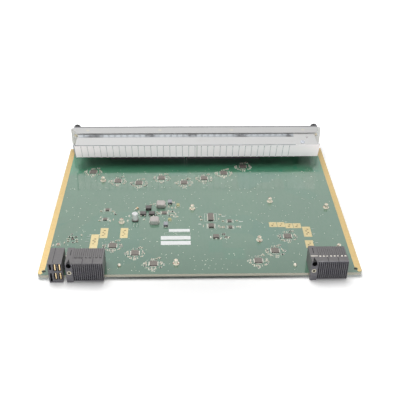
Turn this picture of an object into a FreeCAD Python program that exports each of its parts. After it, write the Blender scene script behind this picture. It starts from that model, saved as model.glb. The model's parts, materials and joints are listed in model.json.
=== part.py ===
import FreeCAD, Part
import math
import os

# A switch line card lying on its underside, in millimetres.
# +X is to the right, +Y points from the backplane connectors to the faceplate, +Z is up.
# The origin is under the middle of the card, on the surface that it rests on.

# Board
board_width = 300.0
board_depth = 231.8
board_thickness = 2.8
board_corner = 3.0
underside_room = 2.2
corner_hole_radius = 1.6
corner_hole_inset = 5.4

# Backplane connectors
connector_overhang = 4.5
connector_height = 17.0
connector_length = 23.4
module_gap = 0.1
edge_gap = 0.3
signal_columns = 5
signal_modules = 3
column_pitch = 1.86
column_slot = 0.95
column_slot_depth = 2.2
signal_drop = 3.7
shroud_length = 9.0
shroud_rim = 0.9
notches = 2
notch_width = 1.8
notch_length = 1.4
notch_depth = 1.2
wafer_drop = 0.3
wafer_gap = 0.26
wafer_chamfer = 0.8
guide_width = 6.2
key_width = 4.6
key_slot_width = 2.0
key_slot_heights = [(1.4, 11.0), (14.9, 21.2)]
power_width = 8.2
power_cell_spacing = 4.2
power_cell_heights = [7.5, 17.5]
power_cell_width = 3.2
power_cell_height = 7.6
power_cell_depth = 4.0
blade_thickness = 0.9
blade_height = 7.0
blade_inset = 0.5
power_guide_gap = 3.0
left_group_inset = 11.6
right_group_inset = 15.4
guide_bore_radius = 1.25
guide_bush_wall = 0.85
guide_bore_height = 11.0
bush_length = 3.6
pin_hole_radius = 2.4
pin_hole_height = 19.0
pin_hole_depth = 14.0
lead_in_width = 3.4
lead_in_length = 6.5

# Faceplate, hood and shield
face_gap = 0.3
face_thickness = 1.5
face_inset = 2.5
ear_depth = 8.5
ear_bottom = 12.0
bend_radius = 2.2
end_drop = 2.6
end_corner = 2.0
flange_depth = 16.7
flange_inset = 4.5
flange_cut_width = 5.5
flange_cut_depth = 9.0
hood_thickness = 1.0
hood_reach = 44.5
strip_depth = 17.8
strip_inset = 2.5
wall_margin = 2.2
wall_inset = 8.5
wall_lean = 7.0
wall_foot_height = 10.6
tongue_gap = 5.8
finger_pitch = 7.13
finger_margin = 1.3
plain_wall = 27.0
finger_sheet = 0.4
finger_slot = 0.4
finger_head = 1.6
finger_overhang = 0.9
strip_top = 0.6
finger_arch = 1.3
finger_tip = 0.9
relief_side = 1.1
gasket_sheet = 0.3
gasket_depth = 7.6
gasket_clearance = 0.1
crown_gap = 2.4
crown_margin = 1.0
crown_ramp = 4.2
crown_fall = 0.6
crown_height = 1.2

# Port jacks
jack_columns = 6
jack_rows = 2
jack_pitch = 13.97
jack_row_pitch = 12.9
jack_side = 1.1
jack_depth = 27.5
jack_proud = 1.4
jack_headroom = 4.2
jack_margin = 47.0
gang_gap = 3.0
plug_width = 11.8
plug_height = 7.0
plug_depth = 20.0
latch_width = 6.2
latch_height = 1.8
port_shift = 0.7
window_gap = 0.3

# Thumbscrews
thumb_inset = 4.7
thumb_height = 23.6
knob_radius = 4.2
knob_length = 14.4
knob_grooves = 12
groove_width = 1.3
groove_depth = 0.6
knob_bevel = 1.0
shaft_hold = 12.0
knob_gap = 1.5
shaft_radius = 1.6
shaft_clearance = 0.05
ferrule_radius = 2.9
ferrule_front = 3.0

# Ejector levers
lever_stand_off = 6.2
lever_pin_radius = 1.5
lever_hub_radius = 3.9
lever_bottom = 6.2
lever_height = 4.8
lever_arm = 46.0
lever_arm_width = 4.0
lever_tip = 5.0
tip_length = 7.0
tip_width = 2.0
claw_reach = 8.4
claw_nose = 0.6
claw_hook = 2.2
claw_angle = 10.0
ear_sheet = 1.5
ear_nose = 3.2
clevis_width = 13.0
clevis_sheet = 1.2
clevis_clearance = 0.4
lever_play = 0.25

# Places derived from the sizes above
board_under = underside_room
board_top = board_under + board_thickness
knob_end = ferrule_front + knob_gap + knob_length
overall_depth = connector_overhang + board_depth + face_gap + face_thickness + knob_end
near_edge = connector_overhang - overall_depth / 2
far_edge = near_edge + board_depth
face_rear = far_edge + face_gap
face_front = face_rear + face_thickness
connector_front = near_edge - connector_overhang
connector_rear = connector_front + connector_length
connector_top = board_top + connector_height
module_width = signal_columns * column_pitch
signal_width = signal_modules * module_width
left_group_x = left_group_inset - board_width / 2
right_group_x = board_width / 2 - right_group_inset - signal_width - guide_width
face_width = board_width - 2 * face_inset
face_height = board_top + jack_rows * jack_row_pitch + jack_headroom
flange_width = face_width - 2 * flange_inset
wall_width = face_width - 2 * wall_inset
strip_width = wall_width - 2 * strip_inset
ear_start = face_width / 2 - ear_depth
thumb_x = face_width / 2 - thumb_inset
lever_pivot_x = ear_start
hood_top = face_height
hood_front = face_rear - hood_reach
strip_end = hood_front + strip_depth
tongue_end = face_rear - tongue_gap
wall_foot = board_top + wall_foot_height
finger_left = finger_margin - wall_width / 2
fingers = int((wall_width - finger_margin - plain_wall) / finger_pitch + 0.01)


def place(distance):
    """Y of a point on the board, from its distance to the near edge."""
    return near_edge + distance


def block(x0, x1, y0, y1, z0, z1):
    """A box between two corners."""
    return Part.makeBox(x1 - x0, y1 - y0, z1 - z0, FreeCAD.Vector(x0, y0, z0))


def upright(x, y, z, radius, height):
    """A cylinder that stands on (x, y, z)."""
    return Part.makeCylinder(radius, height, FreeCAD.Vector(x, y, z))


def along_y(x, y, z, radius, length):
    """A cylinder from (x, y, z) towards +Y."""
    return Part.makeCylinder(radius, length, FreeCAD.Vector(x, y, z), FreeCAD.Vector(0, 1, 0))


def outline(points):
    """A face inside a closed run of straight edges."""
    return Part.Face(Part.makePolygon(points + [points[0]]))


def side_profile(points, x0, x1):
    """A (y, z) outline drawn out from x0 to x1."""
    corners = [FreeCAD.Vector(x0, y, z) for y, z in points]
    return outline(corners).extrude(FreeCAD.Vector(x1 - x0, 0, 0))


def plan_profile(points, z0, z1):
    """An (x, y) outline drawn up from z0 to z1."""
    corners = [FreeCAD.Vector(x, y, z0) for x, y in points]
    return outline(corners).extrude(FreeCAD.Vector(0, 0, z1 - z0))


def folded_sheet(path, thickness, x0, x1):
    """A bent sheet: the (y, z) path is its outer face, and the metal lies on the right of it."""
    inner = []
    for i, (y, z) in enumerate(path):
        normals = []
        for a, b in ((i - 1, i), (i, i + 1)):
            if a < 0 or b >= len(path):
                continue
            dy = path[b][0] - path[a][0]
            dz = path[b][1] - path[a][1]
            run = math.hypot(dy, dz)
            normals.append((dz / run, -dy / run))
        ny = sum(n[0] for n in normals) / len(normals)
        nz = sum(n[1] for n in normals) / len(normals)
        reach = thickness / (ny * ny + nz * nz)
        inner.append((y + ny * reach, z + nz * reach))
    return side_profile(list(path) + inner[::-1], x0, x1)


def mirrored(shape):
    """The same shape on the other side of the card."""
    return shape.mirror(FreeCAD.Vector(0, 0, 0), FreeCAD.Vector(1, 0, 0))


def group(shapes):
    """Like pieces kept as separate solids."""
    return Part.makeCompound(shapes)


def joined(first, others):
    """One solid out of several that share faces."""
    return first.multiFuse(others).removeSplitter()


def chip(x, y, size_x, size_y, height, chamfer):
    """A moulded component that sits on the board, with its upper edges bevelled."""
    x0 = x - size_x / 2
    y0 = place(y) - size_y / 2
    body = block(x0, x0 + size_x, y0, y0 + size_y, board_top, board_top + height)
    upper = [e for e in body.Edges if e.BoundBox.ZMin > board_top + height / 2]
    return body.makeChamfer(chamfer, upper)


def from_left(distance):
    """X of a point, from its distance to the board's left edge."""
    return distance - board_width / 2


def from_right(distance):
    """X of a point, from its distance to the board's right edge."""
    return board_width / 2 - distance


def from_far(distance):
    """Distance to the near edge of a point, from its distance to the board's far edge."""
    return board_depth - distance


# Fasteners on the board, as X and the distance from the near edge
screw_places = [
    (-104.7, from_far(71.0)), (-78.5, 81.5), (-6.4, 105.2), (76.4, 117.6), (from_right(15.6), 105.6),
    (58.9, 50.1), (-22.8, 15.2), (from_right(15.4), 36.6), (from_left(25.4), 27.4),
]
shank_radius = 1.35
shank_sides = 10
collar_radius = 3.2
collar_height = 0.9
collar_bevel = 0.3
head_radius = 2.0
head_sides = 10
head_height = 3.9
head_bevel = 0.6
recess_reach = 1.35
recess_width = 0.6
recess_depth = 0.65
hood_head_radius = 2.8
hood_head_height = 1.3
hood_head_bevel = 0.45
nut_across = 4.2
nut_height = 1.9


def prism(x, y, z, radius, height, sides):
    """A regular prism that stands on (x, y, z): small repeated fasteners have few sides."""
    points = []
    for i in range(sides):
        angle = 2 * math.pi * i / sides
        points.append((x + radius * math.cos(angle), y + radius * math.sin(angle)))
    return plan_profile(points, z, z + height)


def low_head(x, y, z, radius, height, bevel):
    """A low head of many sides with a bevelled rim."""
    head = prism(x, y, z, radius, height, head_sides)
    rim = [e for e in head.Edges if e.BoundBox.ZMin > z + height / 2]
    return head.makeChamfer(bevel, rim)


def cross_screw(x, y, seat, foot, head, top):
    """A head with a cross recess in its top, and a shank from its seat down to its foot."""
    shank = prism(x, y, foot, shank_radius, seat - foot, shank_sides)
    half = recess_width / 2
    floor = top - recess_depth
    cross = [
        block(x - recess_reach, x + recess_reach, y - half, y + half, floor, top + 1),
        block(x - half, x + half, y - recess_reach, y + recess_reach, floor, top + 1),
    ]
    return joined(head, [shank]).cut(cross)


def collar_screw(x, y, seat, foot):
    """A board screw: a tall head on a wide collar."""
    collar = low_head(x, y, seat, collar_radius, collar_height, collar_bevel)
    head_foot = seat + collar_height
    head = low_head(x, y, head_foot, head_radius, head_height, head_bevel)
    return cross_screw(x, y, seat, foot, joined(collar, [head]), head_foot + head_height)


def flat_screw(x, y, seat, foot):
    """The hood's screw, with a wide flat head."""
    head = low_head(x, y, seat, hood_head_radius, hood_head_height, hood_head_bevel)
    return cross_screw(x, y, seat, foot, head, seat + hood_head_height)


def hex_nut(x, y, foot):
    """A hexagon nut round a screw's shank."""
    nut = prism(x, y, foot, nut_across / math.sqrt(3), nut_height, 6)
    return nut.cut(prism(x, y, foot - 1, shank_radius, nut_height + 2, shank_sides))


def make_board():
    """The circuit board with its rounded near corners and its holes."""
    half = board_width / 2
    board = block(-half, half, near_edge, far_edge, board_under, board_top)
    corners = []
    for e in board.Edges:
        box = e.BoundBox
        if box.YMax < near_edge + 1 and box.ZLength > board_thickness / 2:
            corners.append(e)
    board = board.makeFillet(board_corner, corners)
    holes = []
    for side in (-1, 1):
        x = side * (half - corner_hole_inset)
        holes.append(upright(x, place(corner_hole_inset), 0, corner_hole_radius, board_top + 1))
    for x, y in screw_places:
        holes.append(prism(x, place(y), 0, shank_radius, board_top + 1, shank_sides))
    return board.cut(holes)


def make_board_screws():
    """Collared screws through the board, as far as the ends of their nuts."""
    foot = board_under - nut_height
    return group([collar_screw(x, place(y), board_top, foot) for x, y in screw_places])


def make_board_nuts():
    """Hexagon nuts under the board, on the screws."""
    return group([hex_nut(x, place(y), board_under - nut_height) for x, y in screw_places])


# Fixings of the flange, and light pipes in the faceplate
rivets_in_row = 4
rivet_inset = 17.6
rivet_shift = -0.9
rivet_y = face_rear - 9.7
rivet_radius = 2.1
rivet_sides = 12
rivet_head = 2.9
rivet_head_height = 0.8
lens_x = face_width / 2 - 26.5
lens_heights = [22.0, 15.0]
lens_width = 3.4
lens_height = 2.2
lens_proud = 0.6
holder_width = 5.2
holder_depth = 5.0
holder_gap = 0.4
holder_bevel = 0.5


def rivet_places():
    """X of each rivet of the flange."""
    half = flange_width / 2 - rivet_inset
    step = 2 * half / (rivets_in_row - 1)
    return [rivet_shift - half + i * step for i in range(rivets_in_row)]


def light_pipe(z, start, end):
    """The flat bar of one light pipe, between two distances along Y."""
    half = lens_width / 2
    return block(lens_x - half, lens_x + half, start, end, z - lens_height / 2, z + lens_height / 2)


def jack_width():
    """Width of a gang of jacks."""
    return jack_columns * jack_pitch + 2 * jack_side


def jack_centres():
    """Middle X of the left and the right gang of jacks."""
    left = jack_margin + jack_width() / 2 - face_width / 2
    return [left, left + jack_width() + gang_gap]


def jack_height():
    """Height of a gang of jacks."""
    return jack_rows * jack_row_pitch


def make_faceplate():
    """The front panel: a wall with windows and holes, and a flange folded back at its top."""
    half = face_width / 2
    end_top = face_height - end_drop
    wall = block(-half, half, face_rear, face_front, 0, end_top)
    corners = [e for e in wall.Edges if e.BoundBox.YLength > face_thickness / 2 and e.BoundBox.ZMin > end_top / 2]
    wall = wall.makeFillet(end_corner, corners)
    reach = flange_width / 2
    bend = block(-reach, reach, face_rear, face_front, end_top, face_height)
    near = face_rear - flange_depth
    cut_end = near + flange_cut_depth
    inner = reach - flange_cut_width
    flange = plan_profile([(-inner, near), (inner, near), (reach, cut_end), (reach, face_rear),
                           (-reach, face_rear), (-reach, cut_end)], face_height - face_thickness, face_height)
    fold = joined(bend, [flange])
    rounded = []
    for e in fold.Edges:
        box = e.BoundBox
        if box.YMin > face_front - 0.01 and box.ZMin > face_height - 0.01:
            rounded.append(e)
    plate = joined(wall, [fold.makeFillet(bend_radius, rounded)])
    cuts = []
    for side in (-1, 1):
        x0, x1 = sorted((side * ear_start, side * (half + 1)))
        cuts.append(block(x0, x1, face_rear - 1, face_front + 1, -1, ear_bottom))
        cuts.append(along_y(side * thumb_x, face_rear - 1, thumb_height, ferrule_radius, 4))
    for x in jack_centres():
        side = jack_width() / 2 + window_gap
        top = board_top + jack_height() + window_gap
        cuts.append(block(x - side, x + side, face_rear - 1, face_front + 1, board_top - window_gap, top))
    for z in lens_heights:
        cuts.append(light_pipe(z, face_rear - 1, face_front + 1))
    for x in rivet_places():
        cuts.append(prism(x, rivet_y, face_height - 3, rivet_radius, 4, rivet_sides))
    return plate.cut(cuts)


def make_hood():
    """The shield over the ports: a strip, a step down under the faceplate's flange, and a wall."""
    step = face_thickness
    foot = (hood_front + wall_lean, wall_foot)
    brow = (hood_front, hood_top)
    path = [foot, brow, (strip_end, hood_top), (strip_end + step, hood_top - step),
            (tongue_end, hood_top - step)]
    sheet = folded_sheet(path, hood_thickness, -wall_width / 2, wall_width / 2)
    strip_floor = hood_top - face_thickness - 2 * hood_thickness
    trims = []
    for side in (-1, 1):
        x0, x1 = sorted((side * strip_width / 2, side * (wall_width / 2 + 1)))
        trims.append(block(x0, x1, hood_front + wall_margin, tongue_end + 1, strip_floor, hood_top + 1))
    holes = []
    for x in rivet_places():
        holes.append(prism(x, rivet_y, hood_top - 5, rivet_radius, 6, rivet_sides))
    holes.append(prism(hood_screw_x, hood_screw_y, hood_top - 5, shank_radius, 6, shank_sides))
    holes.append(prism(relief_x, strip_end - relief_radius, hood_top - 5, relief_radius, 6, shank_sides))
    return sheet.cut(trims + holes)


hood_screw_x = wall_width / 2 - 19.2
hood_screw_y = hood_front + 4.9
relief_x = wall_width / 2 - 12.5
relief_radius = 1.0


def make_hood_screw():
    """The flat-headed screw of the hood."""
    return flat_screw(hood_screw_x, hood_screw_y, hood_top, hood_top - hood_thickness - nut_height)


def make_hood_nut():
    """The nut of the hood's screw, under the sheet."""
    return hex_nut(hood_screw_x, hood_screw_y, hood_top - hood_thickness - nut_height)


def wall_slope():
    """Length and lean of the hood's wall."""
    drop = hood_top - wall_foot
    return math.hypot(wall_lean, drop), math.degrees(math.atan2(wall_lean, drop))


def make_finger_strip():
    """A thin comb of spring fingers on the hood's wall, each with a hollowed foot."""
    length, lean = wall_slope()
    top = -strip_top
    foot = -length - finger_overhang
    width = fingers * finger_pitch
    corners = [(0, top), (width, top)]
    for i in range(fingers, 0, -1):
        tip = i * finger_pitch
        next_tip = tip - finger_pitch
        corners.append((tip, foot))
        corners.append((tip - finger_tip, foot + finger_arch))
        corners.append((next_tip + finger_tip, foot + finger_arch))
    corners.append((0, foot))
    comb = outline([FreeCAD.Vector(x, 0, z) for x, z in corners]).extrude(FreeCAD.Vector(0, -finger_sheet, 0))
    cuts = []
    slot_top = top - finger_head
    for i in range(1, fingers):
        x = i * finger_pitch
        half = relief_side / 2
        cuts.append(block(x - finger_slot / 2, x + finger_slot / 2, -1, 1, foot - 1, slot_top))
        cuts.append(block(x - half, x + half, -1, 1, slot_top - half, slot_top + half))
    comb = comb.cut(cuts)
    comb.rotate(FreeCAD.Vector(0, 0, 0), FreeCAD.Vector(1, 0, 0), lean)
    comb.translate(FreeCAD.Vector(finger_left, hood_front, hood_top))
    return comb


def make_gasket():
    """A contact strip in the groove beside the flange, with a ramped crown for each finger."""
    groove_start = strip_end + face_thickness
    base_z = hood_top - face_thickness
    width = fingers * finger_pitch
    rear = groove_start + gasket_depth
    strip = block(finger_left + crown_gap, finger_left + width, groove_start + gasket_clearance, rear,
                  base_z, base_z + gasket_sheet)
    y0 = groove_start + crown_margin
    y1 = rear - crown_margin
    crest = base_z + crown_height
    rise = [(y0, base_z), (y0 + crown_ramp, crest), (y1 - crown_fall, crest), (y1, base_z)]
    crowns = []
    for i in range(fingers):
        x0 = finger_left + i * finger_pitch + crown_gap
        crowns.append(side_profile(rise, x0, x0 + finger_pitch - crown_gap))
    return joined(strip, crowns)


def make_rivets():
    """Flush rivets that hold the faceplate's flange and the hood together."""
    rivets = []
    foot = hood_top - face_thickness - hood_thickness - rivet_head_height
    for x in rivet_places():
        shank = prism(x, rivet_y, foot, rivet_radius, hood_top - foot, rivet_sides)
        head = prism(x, rivet_y, foot, rivet_head, rivet_head_height, rivet_sides)
        rivets.append(joined(shank, [head]))
    return group(rivets)


def jack_cavity(x, z, up):
    """The space for one modular plug: its body, and the keyway for its latch."""
    front = face_front + jack_proud
    y0 = front - plug_depth
    y1 = front + 1
    body = block(x - plug_width / 2, x + plug_width / 2, y0, y1, z - plug_height / 2, z + plug_height / 2)
    reach = plug_height / 2
    z0, z1 = (z + reach, z + reach + latch_height) if up else (z - reach - latch_height, z - reach)
    keyway = block(x - latch_width / 2, x + latch_width / 2, y0, y1, z0, z1)
    return joined(body, [keyway])


def jack_ports(x_middle):
    """Middle X and Z of every port of a gang, and whether its latch is above it."""
    ports = []
    for column in range(jack_columns):
        x = x_middle + (column - (jack_columns - 1) / 2) * jack_pitch
        ports.append((x, board_top + jack_row_pitch * 0.5 + port_shift, False))
        ports.append((x, board_top + jack_row_pitch * 1.5 - port_shift, True))
    return ports


def make_jack_gang(x_middle):
    """A moulded housing with two rows of modular jacks."""
    front = face_front + jack_proud
    half = jack_width() / 2
    body = block(x_middle - half, x_middle + half, front - jack_depth, front,
                 board_top, board_top + jack_height())
    cavities = [jack_cavity(x, z, up) for x, z, up in jack_ports(x_middle)]
    return body.cut(cavities)


bracket_x = face_width / 2 - 19.0
bracket_width = 9.0
bracket_depth = 8.0
bracket_rise = 9.0
bracket_sheet = 1.2
bracket_rivet_radius = 1.8
bracket_rivet_height = 0.9
bracket_rivet_bevel = 0.5


def make_bracket(side):
    """A small angle that ties the board to the faceplate."""
    x0 = side * bracket_x - bracket_width / 2
    x1 = x0 + bracket_width
    foot = block(x0, x1, face_rear - bracket_depth, face_rear, board_top, board_top + bracket_sheet)
    leg = block(x0, x1, face_rear - bracket_sheet, face_rear, board_top, board_top + bracket_rise)
    return joined(foot, [leg])


def make_bracket_rivets():
    """Low-headed rivets on the feet of the two angles."""
    rivets = []
    for side in (-1, 1):
        rivets.append(low_head(side * bracket_x, face_rear - bracket_depth * 0.6, board_top + bracket_sheet,
                               bracket_rivet_radius, bracket_rivet_height, bracket_rivet_bevel))
    return group(rivets)


def module_profile(bottom, rear):
    """Side outline of a connector housing that hangs over the board's near edge."""
    lip = near_edge - edge_gap
    return [(connector_front, bottom), (lip, bottom), (lip, board_top), (rear, board_top),
            (rear, connector_top), (connector_front, connector_top)]


def make_key_module():
    """The narrow keying module with two tall slots."""
    x0 = left_group_x
    x1 = x0 + key_width - module_gap
    body = side_profile(module_profile(0, connector_rear), x0, x1)
    middle = (x0 + x1) / 2
    half = key_slot_width / 2
    slots = []
    for z0, z1 in key_slot_heights:
        slots.append(block(middle - half, middle + half, connector_front - 1,
                           connector_front + power_cell_depth, z0, z1))
    return body.cut(slots)


def power_cells():
    """Middle of each of the four contact cells of the power module."""
    x0 = left_group_x + key_width
    middle = x0 + (power_width - module_gap) / 2
    cells = []
    for side in (-1, 1):
        for z in power_cell_heights:
            cells.append((middle + side * power_cell_spacing / 2, z))
    return cells


def make_power_housing():
    """The power module: two by two open cells."""
    x0 = left_group_x + key_width
    x1 = x0 + power_width - module_gap
    body = side_profile(module_profile(0, connector_rear), x0, x1)
    cuts = []
    for x, z in power_cells():
        half = power_cell_width / 2
        rise = power_cell_height / 2
        y1 = connector_front + power_cell_depth
        cuts.append(block(x - half, x + half, connector_front - 1, y1, z - rise, z + rise))
    return body.cut(cuts)


def make_power_blades():
    """Four contact blades, seated on the floors of the power cells."""
    blades = []
    for x, z in power_cells():
        half = blade_thickness / 2
        rise = blade_height / 2
        y1 = connector_front + power_cell_depth
        blades.append(block(x - half, x + half, connector_front + blade_inset, y1, z - rise, z + rise))
    return group(blades)


def make_guide_module(x0):
    """A guide block: a pin hole with a pointed lead-in through its roof, above a bushed round hole."""
    x1 = x0 + guide_width - module_gap
    body = side_profile(module_profile(0, connector_rear), x0, x1)
    middle = (x0 + x1) / 2
    half = lead_in_width / 2
    pin_hole = along_y(middle, connector_front - 1, pin_hole_height, pin_hole_radius, pin_hole_depth + 1)
    lead_in = plan_profile([(middle - half, connector_front), (middle + half, connector_front),
                            (middle, connector_front + lead_in_length)], pin_hole_height, connector_top + 1)
    seat = along_y(middle, connector_front - 1, guide_bore_height, guide_bore_radius + guide_bush_wall,
                   bush_length + 1)
    return body.cut([pin_hole, lead_in, seat])


def make_guide_bush(x0):
    """The bright ring in the lower hole of a guide block."""
    middle = x0 + (guide_width - module_gap) / 2
    outer = guide_bore_radius + guide_bush_wall
    ring = along_y(middle, connector_front, guide_bore_height, outer, bush_length)
    bore = along_y(middle, connector_front - 1, guide_bore_height, guide_bore_radius, bush_length + 2)
    return ring.cut(bore)


def make_signal_housing(x0):
    """Three shrouds side by side, ribbed in front and notched along the rear of the top."""
    shrouds = []
    bottom = board_top - signal_drop
    rear = connector_front + shroud_length
    for module in range(signal_modules):
        m0 = x0 + module * module_width
        m1 = m0 + module_width - module_gap
        body = side_profile(module_profile(bottom, rear), m0, m1)
        cuts = []
        for column in range(signal_columns):
            x = m0 + (column + 0.5) * column_pitch
            half = column_slot / 2
            cuts.append(block(x - half, x + half, connector_front - 1, connector_front + column_slot_depth,
                              bottom + shroud_rim, connector_top - shroud_rim))
        for notch in range(notches):
            x = m0 + (2 * notch + 1.5) * column_pitch
            cuts.append(block(x - notch_width / 2, x + notch_width / 2, rear - notch_length, rear + 1,
                              connector_top - notch_depth, connector_top + 1))
        shrouds.append(body.cut(cuts))
    return group(shrouds)


def make_signal_wafers(x0):
    """Thin contact wafers in a row behind the shrouds."""
    wafers = []
    y0 = connector_front + shroud_length
    top = connector_top - wafer_drop
    profile = [(y0, board_top), (connector_rear, board_top), (connector_rear, top - wafer_chamfer),
               (connector_rear - wafer_chamfer, top), (y0, top)]
    for i in range(signal_modules * signal_columns):
        w0 = x0 + i * column_pitch
        wafers.append(side_profile(profile, w0, w0 + column_pitch - wafer_gap))
    return group(wafers)


# Components: a place is X and the distance from the near edge, or from the far edge for the far chips.
# A size is width, depth, height and bevel.
far_chips = [
    (-117.6, 52.3), (-88.3, 71.7), (-64.8, 76.1), (-40.1, 66.0), (-14.9, 76.0), (7.6, 67.1), (30.0, 56.1),
    (52.8, 42.1),
]
near_chips = [(-84.6, 43.2), (-62.2, 31.5), (-44.0, 15.3), (87.5, 56.2), (72.5, 33.6), (55.0, 18.4)]
port_chip_size = (7.2, 7.2, 0.9, 0.15)
inductor_places = [(-39.3, 110.5), (-45.2, 81.8)]
inductor_side = 9.2
inductor_corner = 1.6
inductor_height = 4.6
inductor_bevel = 0.7
can_x = -65.0
can_y = 85.5
can_radius = 3.15
can_height = 7.4
can_base_height = 1.0
can_base_margin = 0.2
can_base_corner = 1.2
can_bevel = 0.4
can_neck = 0.9
driver_place = (-52.1, 105.1)
driver_size = (5.8, 5.8, 3.0, 0.4)
transistor_places = [(-57.4, 95.9), (-48.4, 95.8)]
transistor_width = 6.2
transistor_depth = 5.6
transistor_height = 2.2
transistor_bevel = 0.5
transistor_tab = 5.2
tab_reach = 1.6
leg_spacing = 3.8
leg_width = 0.9
leg_reach = 1.8
lead_thickness = 0.6
tantalum_places = [(-29.9, 116.0), (-33.6, 76.2)]
tantalum_size = (4.3, 6.0, 2.6, 0.3)
yellow_places = [(-21.4, 111.2), (-29.7, 85.1)]
yellow_size = (3.2, 3.5, 1.8, 0.2)
controller_place = (-35.5, 97.7)
controller_size = (5.0, 5.0, 1.0, 0.2)
memory_place = (12.3, 89.1)
memory_size = (5.4, 12.4, 1.6, 0.3)
clock_place = (12.3, 74.2)
clock_size = (5.4, 6.4, 1.6, 0.3)
logic_places = [(31.5, 82.4), (31.7, 71.8), (-94.9, 103.8), (-95.8, 86.9)]
logic_size = (4.0, 4.0, 1.1, 0.2)
oscillator_place = (16.6, 55.8)
oscillator_size = (6.0, 5.4, 1.8, 0.3)
small_transistor_places = [(24.2, 59.8), (26.3, 54.9), (from_left(25.4), 54.0)]
small_transistor_size = (2.9, 1.7, 1.1, 0.2)
indicator_size = (3.0, 2.4, 1.6, 0.3)
indicator_place = (from_left(12.7), 45.0)
label_places = [
    (-30.4, -9.3, 64.9, 69.4), (-38.1, -8.8, 52.0, 57.9), (-37.9, -8.7, 43.7, 49.7),
]
label_thickness = 0.15
post_places = [(from_left(74.2), 12.6), (from_right(61.2), 11.0)]
post_radius = 1.6
post_height = 2.1
post_bevel = 0.7


def chips(places, size):
    """Like components at several places."""
    return group([chip(x, y, *size) for x, y in places])


def port_chip_places():
    """X and distance from the near edge of every port chip."""
    return [(x, from_far(y)) for x, y in far_chips] + near_chips


def make_inductor(x, y):
    """A moulded power inductor with cut corners."""
    half = inductor_side / 2
    near = half - inductor_corner
    yc = place(y)
    points = [(x - near, yc - half), (x + near, yc - half), (x + half, yc - near), (x + half, yc + near),
              (x + near, yc + half), (x - near, yc + half), (x - half, yc + near), (x - half, yc - near)]
    body = plan_profile(points, board_top, board_top + inductor_height)
    upper = [e for e in body.Edges if e.BoundBox.ZMin > board_top + inductor_height / 2]
    return body.makeChamfer(inductor_bevel, upper)


def make_can_base():
    """The moulded foot under the electrolytic can, with two cut corners."""
    half = can_radius + can_base_margin
    near = half - can_base_corner
    yc = place(can_y)
    points = [(can_x - near, yc - half), (can_x + near, yc - half), (can_x + half, yc - near),
              (can_x + half, yc + half), (can_x - half, yc + half), (can_x - half, yc - near)]
    return plan_profile(points, board_top, board_top + can_base_height)


def make_can():
    """The aluminium can, necked in at its foot and bevelled at its top."""
    z = board_top + can_base_height
    profile = [(0, z), (can_radius - can_bevel, z), (can_radius, z + can_neck),
               (can_radius, z + can_height - can_bevel), (can_radius - can_bevel, z + can_height),
               (0, z + can_height)]
    points = [FreeCAD.Vector(can_x + r, place(can_y), h) for r, h in profile]
    axis = FreeCAD.Vector(can_x, place(can_y), 0)
    return outline(points).revolve(axis, FreeCAD.Vector(0, 0, 1), 360)


def make_transistor(x, y):
    """A power transistor: a moulded body, its metal tab behind and two legs in front."""
    body = chip(x, y, transistor_width, transistor_depth, transistor_height, transistor_bevel)
    rear = place(y) + transistor_depth / 2
    front = place(y) - transistor_depth / 2
    lead_top = board_top + lead_thickness
    half_tab = transistor_tab / 2
    metal = [block(x - half_tab, x + half_tab, rear, rear + tab_reach, board_top, lead_top)]
    for side in (-1, 1):
        inner = x + side * leg_spacing / 2 - leg_width / 2
        metal.append(block(inner, inner + leg_width, front - leg_reach, front, board_top, lead_top))
    return joined(body, metal)


def make_labels():
    """Three blank paper labels on the board."""
    labels = []
    for x0, x1, y0, y1 in label_places:
        labels.append(block(x0, x1, place(y0), place(y1), board_top, board_top + label_thickness))
    return group(labels)


def make_posts():
    """Two posts with bevelled heads near the connectors."""
    posts = []
    for x, y in post_places:
        posts.append(low_head(x, place(y), board_top, post_radius, post_height, post_bevel))
    return group(posts)


def make_lenses():
    """Two light pipes from their stand through the faceplate."""
    return group([light_pipe(z, face_rear - holder_gap, face_front + lens_proud) for z in lens_heights])


def make_led_holder():
    """The moulded stand on the board that the light pipes meet."""
    y1 = face_rear - holder_gap
    half = holder_width / 2
    top = max(lens_heights) + half
    stand = block(lens_x - half, lens_x + half, y1 - holder_depth, y1, board_top, top)
    upper = [e for e in stand.Edges if e.BoundBox.ZMin > top - 0.01]
    return stand.makeChamfer(holder_bevel, upper)


def make_ferrule():
    """The sleeve of the right thumbscrew, pressed into the faceplate."""
    length = face_thickness + ferrule_front
    sleeve = along_y(thumb_x, face_rear, thumb_height, ferrule_radius, length)
    bore = along_y(thumb_x, face_rear - 1, thumb_height, shaft_radius + shaft_clearance, length + 2)
    return sleeve.cut(bore)


def make_shaft():
    """The screw of the right thumbscrew, which ends inside the knob."""
    length = face_thickness + ferrule_front + knob_gap + shaft_hold
    return along_y(thumb_x, face_rear, thumb_height, shaft_radius, length)


def make_knob():
    """The moulded knob of the right thumbscrew, with grip grooves and a bevelled nose."""
    start = face_front + ferrule_front + knob_gap
    knob = along_y(thumb_x, start, thumb_height, knob_radius, knob_length)
    nose = [e for e in knob.Edges if e.BoundBox.YMin > start + knob_length / 2 and len(e.Vertexes) == 1]
    knob = knob.makeChamfer(knob_bevel, nose)
    cuts = [along_y(thumb_x, start - 1, thumb_height, shaft_radius, shaft_hold + 1)]
    groove = []
    for across, out in ((-groove_width, groove_depth), (0, -groove_depth), (groove_width, groove_depth)):
        groove.append(FreeCAD.Vector(thumb_x + across, start - 1, thumb_height + knob_radius + out))
    cutter = outline(groove).extrude(FreeCAD.Vector(0, knob_length - knob_bevel, 0))
    middle = FreeCAD.Vector(thumb_x, 0, thumb_height)
    for i in range(knob_grooves):
        turned = cutter.copy()
        turned.rotate(middle, FreeCAD.Vector(0, 1, 0), 360 * i / knob_grooves)
        cuts.append(turned)
    return knob.cut(cuts)


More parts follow.
